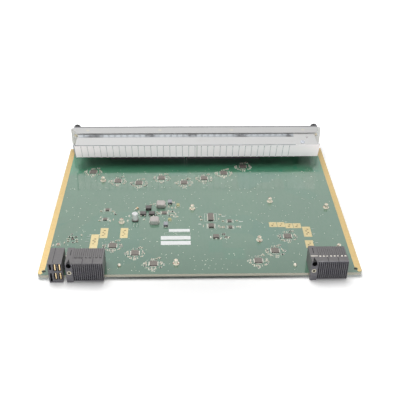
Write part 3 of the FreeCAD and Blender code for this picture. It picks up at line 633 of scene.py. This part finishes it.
def make_gold_pads():
    """Bare gold pads for ground contact, each with small dark press marks."""
    rng = random.Random(11)
    pads = bmesh.new()
    marks = bmesh.new()
    for x, y, width, depth in gold_pads:
        add_turned_box(pads, spot(x, y), (width * mm, depth * mm, film))
        count = 4 if depth > deep_pad else 2
        for i in range(count):
            shift = (i - (count - 1) / 2) * mark_step
            lean = mark_lean if i % 2 else -mark_lean
            mark_x = x + lean + rng.uniform(-mark_jitter, mark_jitter)
            mark_y = y + shift + rng.uniform(-mark_jitter, mark_jitter)
            centre = spot(mark_x, mark_y)
            centre.z += film
            size = (rng.uniform(*mark_scale) * mark_length * mm, rng.uniform(*mark_scale) * mm, film)
            add_turned_box(marks, centre, size, rng.uniform(-mark_turn, mark_turn))
    finish_piece("ground_pads", pads, "pad_gold")
    finish_piece("pad_marks", marks, "mark_dark")


# Scattered vias: their number, half the field's width, its near and far end, and their radii, in mm
via_count = 460
via_half_field = 141
via_field = (4, 186)
via_radii = (0.3, 0.6)
via_lift = 0.4 * film
via_sides = 6

# Rows of vias beside the near edge, in mm: first place, steps, shift of every other row, jitter
via_rows = 3
vias_in_row = 6
via_start = (-6, 6.5)
via_steps = (6.4, 7.0)
via_shift = 3.0
via_jitter = (1.6, 2.0)
row_via_radius = 0.42


def make_vias():
    """Small pale vias and test pads scattered over the board, and rows of them beside the near edge."""
    rng = random.Random(5)
    bm = bmesh.new()
    for _ in range(via_count):
        centre = spot(rng.uniform(-via_half_field, via_half_field), rng.uniform(*via_field))
        centre.z += rng.uniform(0.0, via_lift)
        add_round(bm, centre, rng.uniform(*via_radii) * mm, film, via_sides)
    jitter_x, jitter_y = via_jitter
    for row in range(via_rows):
        for column in range(vias_in_row):
            x = via_start[0] + column * via_steps[0] + (row % 2) * via_shift
            x += rng.uniform(-jitter_x, jitter_x)
            y = via_start[1] + row * via_steps[1] + rng.uniform(-jitter_y, jitter_y)
            add_round(bm, spot(x, y), row_via_radius * mm, film, via_sides)
    finish_piece("vias", bm, "via_pad")


# Small parts on the board

outlined_share = 0.6

# The body and the soldered caps of a small part, as shares of its length, width and height
body_width = 0.96
body_bevel = 0.2
cap_length = 0.34
cap_height = 1.06
cap_bevel = 0.25


def add_passive(meshes, kind, centre, turn, length, width, height):
    """A chip resistor or capacitor with a soldered cap at each end."""
    add_turned_box(meshes[kind], centre, (length, width * body_width, height), turn, height * body_bevel)
    reach = Vector((math.cos(turn), math.sin(turn), 0.0))
    for side in (-1, 1):
        end = centre + reach * (side * length * 0.5)
        size = (length * cap_length, width, height * cap_height)
        add_turned_box(meshes["solder"], end, size, turn, height * cap_bevel)


def add_outline(bm, centre, width, depth, line, turn=0.0):
    """Four printed lines round a part."""
    for side in (-1, 1):
        for offset, size in ((Vector((side * width / 2, 0, 0)), (line, depth + line, film)),
                             (Vector((0, side * depth / 2, 0)), (width, line, film))):
            offset.rotate(Matrix.Rotation(turn, 3, "Z"))
            add_turned_box(bm, centre + offset, size, turn)


def place_passive(meshes, rng, kind, centre, turn, size, outline):
    """A small part and, by chance, its printed outline, which adds a length and a width with its line."""
    length, width, height = metres(*size)
    add_passive(meshes, kind, centre, turn, length, width, height)
    if rng.random() < outlined_share:
        more_length, more_width, line = metres(*outline)
        add_outline(meshes["print"], centre, length + more_length, width + more_width, line, turn)


# The ring round a port chip: X and Y from the chip's middle in mm, turn in degrees
ring_parts = [
    (-6.9, 1.6, 90), (-8.2, 0.2, 90), (-7.0, -1.4, 90), (-8.0, -3.2, 0), (-9.6, -0.6, 90),
    (-5.8, -6.0, 0), (-4.4, -7.4, 90), (-2.6, -7.9, 90), (-0.9, -7.6, 90), (0.9, -7.9, 90),
    (2.7, -7.5, 90), (-0.6, -10.4, 90), (0.9, -10.2, 90), (6.3, -6.0, 20), (7.7, -5.2, 60),
    (7.0, 1.9, 90), (7.2, -1.2, 90), (8.4, 0.6, 90), (9.4, -1.6, 90), (3.2, 6.9, 0), (4.6, 8.6, 20),
    (5.9, 7.4, 60), (-2.2, 5.9, 90), (0.2, 6.1, 90),
]
ring_kinds = ["ceramic", "ceramic", "resistor", "ceramic"]
ring_sizes = [(1.3, 0.8, 0.5), (1.8, 1.0, 0.7), (1.6, 1.1, 0.8)]
ring_outline = (0.8, 0.5, 0.14)
ring_jitter = 0.5
ring_turn = 4

# Printed dashes in the ring, in mm
dash_count = 14
dash_reach = (5.6, 10.5)
dash_squeeze = 0.85
dash_lengths = (0.5, 1.2)
dash_width = 0.25

# Solder at the chip's own edges, in mm
lead_count = 12
lead_pitch = 0.5
lead_reach = 0.45
lead_size = (1.1, 0.34, 0.12)


def make_chip_rings(meshes):
    """The ring of tiny parts round each port chip, and the rows of solder at the chip's own edges."""
    rng = random.Random(21)
    for low, high in solids("port_chips"):
        middle = (low + high) / 2
        x0 = middle.x / mm
        y0 = (middle.y - near_edge) / mm
        half = (high.x - low.x) / 2 / mm
        for dx, dy, turn in ring_parts:
            x = x0 + dx + rng.uniform(-ring_jitter, ring_jitter)
            y = y0 + dy + rng.uniform(-ring_jitter, ring_jitter)
            kind = rng.choice(ring_kinds)
            size = rng.choice(ring_sizes)
            angle = math.radians(turn + rng.uniform(-ring_turn, ring_turn))
            place_passive(meshes, rng, kind, spot(x, y), angle, size, ring_outline)
        for _ in range(dash_count):
            angle = rng.uniform(0, 2 * math.pi)
            reach = rng.uniform(*dash_reach)
            centre = spot(x0 + reach * math.cos(angle), y0 + reach * dash_squeeze * math.sin(angle))
            size = (rng.uniform(*dash_lengths) * mm, dash_width * mm, film)
            add_turned_box(meshes["print"], centre, size, rng.uniform(0, math.pi))
        for side in (-1, 1):
            off = side * (half + lead_reach)
            for i in range(lead_count):
                along = (i - (lead_count - 1) / 2) * lead_pitch
                lead = metres(*lead_size)
                add_turned_box(meshes["solder"], spot(x0 + off, y0 + along), lead)
                add_turned_box(meshes["solder"], spot(x0 + along, y0 + off), lead, math.pi / 2)


# Leaded chips: the pitch of the legs, and what the printed outline adds to the width, in mm
leaded_chips = {
    "flash_memory": (1.27, 7.0), "clock_buffer": (1.27, 3.4), "logic_chips": (0.65, 3.4),
    "switch_controller": (0.5, 3.4),
}
leg_reach = 0.5
leg_length = 1.1
leg_share = 0.6
leg_height = 0.25
leg_bevel = 0.05
leaded_outline = (1.8, 0.32)

# Parts with a solder joint at two ends, in mm
jointed_parts = ("oscillator", "small_transistors", "tantalum_capacitors", "yellow_capacitors",
                 "status_led")
joint_across = 2.0
joint_along = 0.9
joint_height = 0.5
joint_bevel = 0.08
jointed_outline = (1.6, 2.0, 0.16)


def centre_of(low, high):
    """The middle of a solid in mm, as spot takes it."""
    return (low.x + high.x) / 2 / mm, ((low.y + high.y) / 2 - near_edge) / mm


def make_package_leads(meshes):
    """Gull-wing legs, solder joints and printed outlines of the larger parts."""
    more_depth, line = metres(*leaded_outline)
    for node, (pitch, wider) in leaded_chips.items():
        for low, high in solids(node):
            count = int((high.y - low.y) / mm / pitch)
            x, y0 = centre_of(low, high)
            for side, edge in ((-1, low.x / mm), (1, high.x / mm)):
                for i in range(count):
                    y = y0 + (i - (count - 1) / 2) * pitch
                    leg = metres(leg_length, pitch * leg_share, leg_height)
                    place = spot(edge + side * leg_reach, y)
                    add_turned_box(meshes["solder"], place, leg, 0.0, leg_bevel * mm)
            width = (high.x - low.x) + wider * mm
            add_outline(meshes["print"], spot(x, y0), width, high.y - low.y + more_depth, line)
    more_width, more_depth, line = metres(*jointed_outline)
    for node in jointed_parts:
        for low, high in solids(node):
            x, y = centre_of(low, high)
            for side in (-1, 1):
                if node == "status_led":
                    end = spot(x + side * (high.x - low.x) / 2 / mm, y)
                    size = metres(joint_along, joint_across, joint_height)
                else:
                    end = spot(x, y + side * (high.y - low.y) / 2 / mm)
                    size = metres(joint_across, joint_along, joint_height)
                add_turned_box(meshes["solder"], end, size, 0.0, joint_bevel * mm)
            width = high.x - low.x + more_width
            add_outline(meshes["print"], spot(x, y), width, high.y - low.y + more_depth, line)


# Legs of the power transistors and pads of the inductors, in mm
power_leg_spacing = 3.8
power_leg = (1.0, 1.9, 0.66)
power_leg_bevel = 0.1
inductor_pad = (1.3, 2.8, 0.9)
inductor_pad_bevel = 0.2


def make_power_joints(meshes):
    """Tinned legs of the power transistors and the solder at both ends of the inductors."""
    for low, high in solids("power_transistors"):
        x = centre_of(low, high)[0]
        y = (low.y - near_edge) / mm + power_leg[1] / 2
        for side in (-1, 1):
            place = spot(x + side * power_leg_spacing / 2, y)
            add_turned_box(meshes["solder"], place, metres(*power_leg), 0.0, power_leg_bevel * mm)
    for low, high in solids("inductors"):
        y = centre_of(low, high)[1]
        for x in (low.x / mm, high.x / mm):
            pad = metres(*inductor_pad)
            add_turned_box(meshes["solder"], spot(x, y), pad, 0.0, inductor_pad_bevel * mm)


# Small parts near the larger ones: X, distance from the near edge, turn, and the kind if it isn't ceramic
loose_parts = [
    (-46.8, 113.5, 90), (-49.8, 112.3, 0), (-31.2, 109.0, 90), (-27.4, 117.0, 90), (-25.4, 116.2, 90),
    (-24.0, 107.0, 90), (-27.6, 106.2, 90), (-43.0, 98.4, 0), (-41.2, 96.0, 0),
    (-43.5, 94.0, 20, "resistor"), (-31.0, 100.6, 90), (-29.0, 99.0, 90), (-27.0, 100.2, 0, "resistor"),
    (-25.2, 97.4, 90), (-23.6, 95.2, 90), (-27.6, 93.6, 0), (-30.2, 92.6, 0, "resistor"),
    (-25.6, 91.4, 90), (-22.4, 90.6, 0), (-56.0, 86.0, 90), (-72.5, 84.0, 90), (-71.6, 92.2, 90),
    (-101.2, 101.4, 0), (-89.0, 100.8, 0), (-87.2, 98.0, 90), (-86.0, 95.6, 0, "resistor"),
    (-100.6, 90.0, 90), (-101.2, 84.6, 0), (-90.6, 84.0, 90), (-87.4, 85.8, 90), (-63.4, 95.6, 90),
    (-62.0, 99.2, 90), (4.6, 74.0, 90), (20.0, 73.6, 90), (22.2, 71.6, 0), (25.0, 71.0, 0),
    (2.6, 84.6, 0), (1.6, 90.2, 0), (22.4, 93.4, 0), (20.4, 86.0, 90), (24.6, 82.2, 0), (38.8, 82.6, 0),
    (24.8, 72.6, 0), (39.0, 72.4, 0), (41.6, 71.8, 90), (21.4, 53.0, 70), (29.0, 54.6, 60),
    (11.2, 55.2, 90, "solder"), (-64.2, 105.1, 60, "tan"), (-60.8, 96.4, 90),
    (-128.0, 57.6, 0, "resistor"), (-125.0, 57.0, 0, "resistor"), (-121.6, 57.4, 0, "resistor"),
    (-129.2, 54.0, 30), (-126.4, 61.6, 80, "resistor"), (-120.6, 52.6, 0), (-123.4, 48.6, 0, "resistor"),
    (-128.4, 50.6, 0), (-120.0, 49.6, 0), (-131.8, 47.8, 90), (-142.0, 44.2, 90), (-116.4, 60.0, 90),
]

# Sizes of the loose parts and what their outline adds, in mm
loose_size = (1.9, 1.1, 0.8)
own_sizes = {"tan": (3.0, 2.2, 1.6)}
loose_outline = (1.1, 0.8, 0.15)


def make_loose_parts(meshes):
    """The small parts of the power section, the logic chips and the left corner."""
    rng = random.Random(8)
    for x, y, turn, *kinds in loose_parts:
        kind = kinds[0] if kinds else "ceramic"
        size = own_sizes.get(kind, loose_size)
        place_passive(meshes, rng, kind, spot(x, y), math.radians(turn), size, loose_outline)


# Printed boxes and ticks: X, distance from the near edge, width, depth
printed_boxes = [(-21.9, 61.6, 25.6, 3.6)]
box_line = 0.2
printed_ticks = [
    (-66.0, 76.6, 0.4, 6.4), (-62.8, 76.6, 0.4, 6.4), (-109.6, 58.6, 3.4, 0.3), (-109.8, 54.4, 3.4, 0.3),
    (-110.4, 50.4, 3.4, 0.3), (114.6, 68.4, 3.0, 0.3), (114.2, 60.2, 3.0, 0.3), (114.6, 45.6, 3.2, 0.3),
    (1.0, 77.6, 3.0, 1.2), (25.6, 91.0, 4.0, 1.0), (43.0, 81.6, 4.0, 1.0),
]


def make_print(meshes):
    """Printed boxes and ticks beside the labels and pads."""
    for x, y, width, depth in printed_boxes:
        add_outline(meshes["print"], spot(x, y), width * mm, depth * mm, box_line * mm)
    for x, y, width, depth in printed_ticks:
        add_turned_box(meshes["print"], spot(x, y), (width * mm, depth * mm, film))


core_half = 0.6 * mm


def make_led_core():
    """The reddish core of the indicator, flush on its pale body."""
    bm = bmesh.new()
    low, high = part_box("status_led")
    middle = (low + high) / 2
    add_box(bm, (middle.x - core_half, middle.y - core_half, high.z),
            (middle.x + core_half, middle.y + core_half, high.z + film))
    finish_piece("indicator_core", bm, "red_core")


def make_board_detail():
    """Everything small on the board, gathered by material."""
    meshes = {key: bmesh.new() for key in ("ceramic", "resistor", "solder", "print", "tan")}
    make_chip_rings(meshes)
    make_package_leads(meshes)
    make_power_joints(meshes)
    make_loose_parts(meshes)
    make_print(meshes)
    finish_piece("ceramic_capacitors", meshes["ceramic"], "ceramic")
    finish_piece("chip_resistors", meshes["resistor"], "resistor")
    finish_piece("tan_capacitor", meshes["tan"], "tan_body")
    finish_piece("solder_joints", meshes["solder"], "solder")
    finish_piece("board_print", meshes["print"], "white_print")


# Faces of the signal shrouds: ribs across each slot, and a dark back behind them, which is painted shade

columns_in_shroud = 5
shroud_gap = 0.1 * mm
column_width = 0.95 * mm
cell_rows = 8
rib_height = 0.55 * mm
rib_start = 0.9 * mm
back_start = 1.9 * mm
back_end = 2.15 * mm
slot_rim = 0.9 * mm


def make_connector_cells():
    """Thin ribs across the slots of each shroud, which leave rows of dark cells, with painted shade as a
    dark back behind them.
    """
    half = column_width / 2
    for side in ("left", "right"):
        ribs = bmesh.new()
        shade_backs = bmesh.new()
        for low, high in solids("signal_housing_" + side):
            pitch = (high.x - low.x + shroud_gap) / columns_in_shroud
            z0 = low.z + slot_rim
            z1 = high.z - slot_rim
            rise = (z1 - z0) / cell_rows
            for column in range(columns_in_shroud):
                x = low.x + (column + 0.5) * pitch
                for row in range(1, cell_rows):
                    z = z0 + row * rise
                    add_box(ribs, (x - half, low.y + rib_start, z - rib_height / 2),
                            (x + half, low.y + slot_depth, z + rib_height / 2))
                add_box(shade_backs, (x - half, low.y + back_start, z0), (x + half, low.y + back_end, z1))
        finish_piece("cell_ribs_" + side, ribs, "cell_rib")
        finish_piece("cell_shade_backs_" + side, shade_backs, "cell_shade")


def add_liner(bm, low, high, wall):
    """A dark lining, painted shade, for a box-shaped hole that opens towards the near edge."""
    x0, y0, z0 = low
    x1, y1, z1 = high
    add_box(bm, (x0, y1 - wall, z0), (x1, y1, z1))
    add_box(bm, (x0, y0, z0), (x0 + wall, y1, z1))
    add_box(bm, (x1 - wall, y0, z0), (x1, y1, z1))
    add_box(bm, (x0, y0, z0), (x1, y1, z0 + wall))
    add_box(bm, (x0, y0, z1 - wall), (x1, y1, z1))


# Holes in the near ends of the connectors, lined with painted shade, in mm; heights start at the bottom of
# each module
power_cell_half = (1.6, 3.8)
cell_depth = 4.0
key_slot_half = 1.0
key_slot_rows = [(1.4, 11.0), (14.9, 21.2)]
pin_hole_height = 19.0
pin_hole_radius = 2.4
pin_hole_depth = 14.0
pin_hole_sides = 20
liner_wall = 0.05
liner_inset = 0.3


def make_liners():
    """Painted shade: dark linings for the power cells, the key slots and the pin holes."""
    bm = bmesh.new()
    half_x, half_z = metres(*power_cell_half)
    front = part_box("power_housing")[0].y
    start = front + liner_inset * mm
    end = front + cell_depth * mm
    for low, high in solids("power_blades"):
        middle = (low + high) / 2
        add_liner(bm, (middle.x - half_x, start, middle.z - half_z),
                  (middle.x + half_x, end, middle.z + half_z), liner_wall * mm)
    low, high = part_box("key_module")
    middle = (low.x + high.x) / 2
    for z0, z1 in key_slot_rows:
        add_liner(bm, (middle - key_slot_half * mm, start, low.z + z0 * mm),
                  (middle + key_slot_half * mm, end, low.z + z1 * mm), liner_wall * mm)
    for side in ("left", "right"):
        low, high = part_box("guide_module_" + side)
        centre = Vector(((low.x + high.x) / 2, start, low.z + pin_hole_height * mm))
        radius = (pin_hole_radius - liner_wall) * mm
        add_round(bm, centre, radius, (pin_hole_depth - 2 * liner_inset) * mm, pin_hole_sides, along_y=True)
    finish_piece("hole_shade_linings", bm, "cell_shade")


# Marks on top of the signal connectors: the row's distance behind the front, then its start and pitch in mm
mark_row = 8.0 * mm
mark_start = {"left": 0.9, "right": 1.9}
mark_pitch = {"left": 3.38, "right": 3.3}
mark_count = 8

# Each mark of the row by how far it reaches left, near, right and far of its place, in mm
notch = (0.0, 0.0, 1.5, 0.7)
notch_stem = (0.5, -1.4, 1.0, 0.0)
long_tail = (0.0, -0.8, 1.7, 0.6)
short_tail = (0.0, -0.8, 1.0, 0.6)

# The other marks: a tinned bar on the guide, a lighter strip along the near top rim, joints, a slot in
# painted shade and the power housing's joint
bar_reach = metres(0.3, -0.3, 0.6, 0.7)
pale_rim_depth = 0.7 * mm
joint_left = 0.3 * mm
joint_right = 0.2 * mm
joint_gap = 1.2 * mm
slot_place = metres(3.2, 12.0, 20.0)
slot_width = 0.8 * mm
power_joint = metres(-0.25, 1.0, 0.15)


def add_film(bm, x0, y0, x1, y1, z, layer=0):
    """A film on a flat top at a height; layer 1 lies on layer 0."""
    add_box(bm, (x0, y0, z + layer * film), (x1, y1, z + (layer + 1) * film))


def add_mark(bm, x, y, reach, z):
    """One mark of the row on the flat top."""
    left, near, right, far = metres(*reach)
    add_film(bm, x + left, y + near, x + right, y + far, z)


def make_top_marks():
    """Dark notches and joints on top of the connectors, and the tinned tails of the right one; the notches
    and the slot are painted shade.
    """
    dark = bmesh.new()
    tin = bmesh.new()
    pale_strip = bmesh.new()
    for side in ("left", "right"):
        low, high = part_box("signal_housing_" + side)
        guide_low, guide_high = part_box("guide_module_" + side)
        top = high.z
        row = low.y + mark_row
        for i in range(mark_count):
            x = low.x + (mark_start[side] + i * mark_pitch[side]) * mm
            if side == "left":
                # Painted shade in a notch.
                add_mark(dark, x, row, notch, top)
                if i % 3 == 2:
                    add_mark(dark, x, row, notch_stem, top)
            else:
                add_mark(tin, x, row, long_tail if i % 3 < 2 else short_tail, top)
        if side == "right":
            left, near, right, far = bar_reach
            add_film(tin, guide_low.x + left, row + near, guide_high.x + right, row + far, top)
            add_film(pale_strip, low.x, low.y, high.x, low.y + pale_rim_depth, top)
        for shroud_low, _ in solids("signal_housing_" + side)[1:]:
            x = shroud_low.x
            add_film(dark, x - joint_left, low.y, x + joint_right, row - joint_gap, top, layer=1)
        # Painted shade in the slot on the guide.
        inward, near, far = slot_place
        x = guide_low.x + inward
        add_film(dark, x, low.y + near, x + slot_width, low.y + far, top)
    low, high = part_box("power_housing")
    left, near, right = power_joint
    add_film(dark, low.x + left, low.y + near, low.x + right, high.y, high.z)
    finish_piece("top_notches", dark, "cell_shade")
    finish_piece("tinned_tails", tin, "contact_tin")
    finish_piece("pale_rim", pale_strip, "pale_edge")


# Contact wires of the jacks, with their ends behind the front and off the port's middle

jack_columns = 6
jack_wires = 8
wire_pitch = 1.02 * mm
wire_width = 0.4 * mm
wire_thickness = 0.25 * mm
port_heights = ((0.27, -1), (0.73, 1))
wire_front = 9 * mm
wire_rear = 17 * mm
wire_drop = 3.3 * mm
wire_rise = 1.2 * mm


def make_jack_contacts():
    """Eight springy contact wires in each port of the two gangs."""
    bm = bmesh.new()
    for side in ("left", "right"):
        low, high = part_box("jack_gang_" + side)
        width = (high.x - low.x) / jack_columns
        for column in range(jack_columns):
            x = low.x + (column + 0.5) * width
            for share, lean in port_heights:
                middle = low.z + (high.z - low.z) * share
                for wire in range(jack_wires):
                    wire_x = x + (wire - (jack_wires - 1) / 2) * wire_pitch
                    start = Vector((wire_x, high.y - wire_front, middle - lean * wire_drop))
                    end = Vector((wire_x, high.y - wire_rear, middle + lean * wire_rise))
                    add_wire(bm, start, end, wire_width)
    finish_piece("jack_contacts", bm, "contact_metal")


def add_wire(bm, start, end, width):
    """A flat wire between two points that share their X."""
    along = (end - start).normalized()
    across = Vector((width / 2, 0, 0))
    thick = along.cross(Vector((1, 0, 0))).normalized() * wire_thickness
    corners = []
    for point in (start, end):
        for a, t in ((-1, -1), (1, -1), (1, 1), (-1, 1)):
            corners.append(bm.verts.new(point + across * a + thick * t * 0.5))
    add_walls(bm, corners[:4], corners[4:])
    bm.faces.new(corners[3::-1])
    bm.faces.new(corners[4:])


# Stage and light

floor_half = 3.0
floor_drop = 0.2 * mm
floor_colour = (0.99, 0.99, 0.99)
floor_roughness = 0.9
floor_specular = 0.1

# The floor turns white between these distances from its middle
glow_start = 0.132
glow_full = 0.33
floor_glow = 0.9

world_white = 1.0
world_fill = 0.09

# Each lamp's place, target, width, height and power
lamps = {
    "key_lamp": ((-0.2, 0.36, 1.5), (0.0, 0.0, 0.0), 1.2, 1.2, 26.0),
    "front_lamp": ((0.1, -1.3, 0.05), (0.0, 0.0, 0.02), 1.2, 0.1, 11.5),
}


def seen_white(tree):
    """1 for rays from the camera or from glossy or clear surfaces."""
    path = tree.nodes.new("ShaderNodeLightPath")
    total = None
    for name in ("Is Camera Ray", "Is Glossy Ray", "Is Transmission Ray"):
        if total is None:
            total = path.outputs[name]
            continue
        larger = tree.nodes.new("ShaderNodeMath")
        larger.operation = "MAXIMUM"
        tree.links.new(total, larger.inputs[0])
        tree.links.new(path.outputs[name], larger.inputs[1])
        total = larger.outputs["Value"]
    return total


def make_floor():
    """A plain pale floor that keeps the card's shadow, and turns white away from the card."""
    bm = bmesh.new()
    bmesh.ops.create_grid(bm, x_segments=2, y_segments=2, size=floor_half)
    mesh = bpy.data.meshes.new("floor")
    bm.to_mesh(mesh)
    bm.free()
    floor = bpy.data.objects.new("floor", mesh)
    floor.location.z = cad_box[0][2] - floor_drop
    bpy.context.collection.objects.link(floor)
    material = bpy.data.materials.new("floor")
    material.use_nodes = True
    tree = material.node_tree
    shader = tree.nodes["Principled BSDF"]
    shader.inputs["Base Color"].default_value = (*floor_colour, 1.0)
    shader.inputs["Roughness"].default_value = floor_roughness
    shader.inputs["Specular IOR Level"].default_value = floor_specular
    shader.inputs["Emission Color"].default_value = (1.0, 1.0, 1.0, 1.0)
    place = tree.nodes.new("ShaderNodeTexCoord").outputs["Object"]
    distance = tree.nodes.new("ShaderNodeVectorMath")
    distance.operation = "LENGTH"
    tree.links.new(place, distance.inputs[0])
    away = tree.nodes.new("ShaderNodeMapRange")
    away.inputs["From Min"].default_value = glow_start
    away.inputs["From Max"].default_value = glow_full
    away.inputs["To Max"].default_value = floor_glow
    tree.links.new(distance.outputs["Value"], away.inputs["Value"])
    glow = tree.nodes.new("ShaderNodeMath")
    glow.operation = "MULTIPLY"
    tree.links.new(seen_white(tree), glow.inputs[0])
    tree.links.new(away.outputs["Result"], glow.inputs[1])
    tree.links.new(glow.outputs["Value"], shader.inputs["Emission Strength"])
    mesh.materials.append(material)


def make_world():
    """White where it is seen or mirrored, and an even soft fill elsewhere."""
    world = bpy.data.worlds.new("world")
    bpy.context.scene.world = world
    world.use_nodes = True
    tree = world.node_tree
    background = tree.nodes["Background"]
    background.inputs["Color"].default_value = (1.0, 1.0, 1.0, 1.0)
    strength = tree.nodes.new("ShaderNodeMapRange")
    strength.inputs["To Min"].default_value = world_fill
    strength.inputs["To Max"].default_value = world_white
    tree.links.new(seen_white(tree), strength.inputs["Value"])
    tree.links.new(strength.outputs["Result"], background.inputs["Strength"])


def make_lamp(name, place, target, width, height, power):
    """A soft oblong lamp that points at its target."""
    data = bpy.data.lights.new(name, "AREA")
    data.shape = "RECTANGLE"
    data.size = width
    data.size_y = height
    data.energy = power
    lamp = bpy.data.objects.new(name, data)
    lamp.location = place
    lamp.rotation_euler = (Vector(target) - Vector(place)).to_track_quat("-Z", "Y").to_euler()
    bpy.context.collection.objects.link(lamp)


def make_stage():
    """The floor, the world and the lamps."""
    make_floor()
    make_world()
    for name, settings in lamps.items():
        make_lamp(name, *settings)
    bpy.context.scene.view_settings.view_transform = "Standard"


make_camera()
dress_nodes()
make_edge_plating()
make_gold_pads()
make_vias()
make_board_detail()
make_led_core()
make_connector_cells()
make_liners()
make_top_marks()
make_jack_contacts()
make_stage()
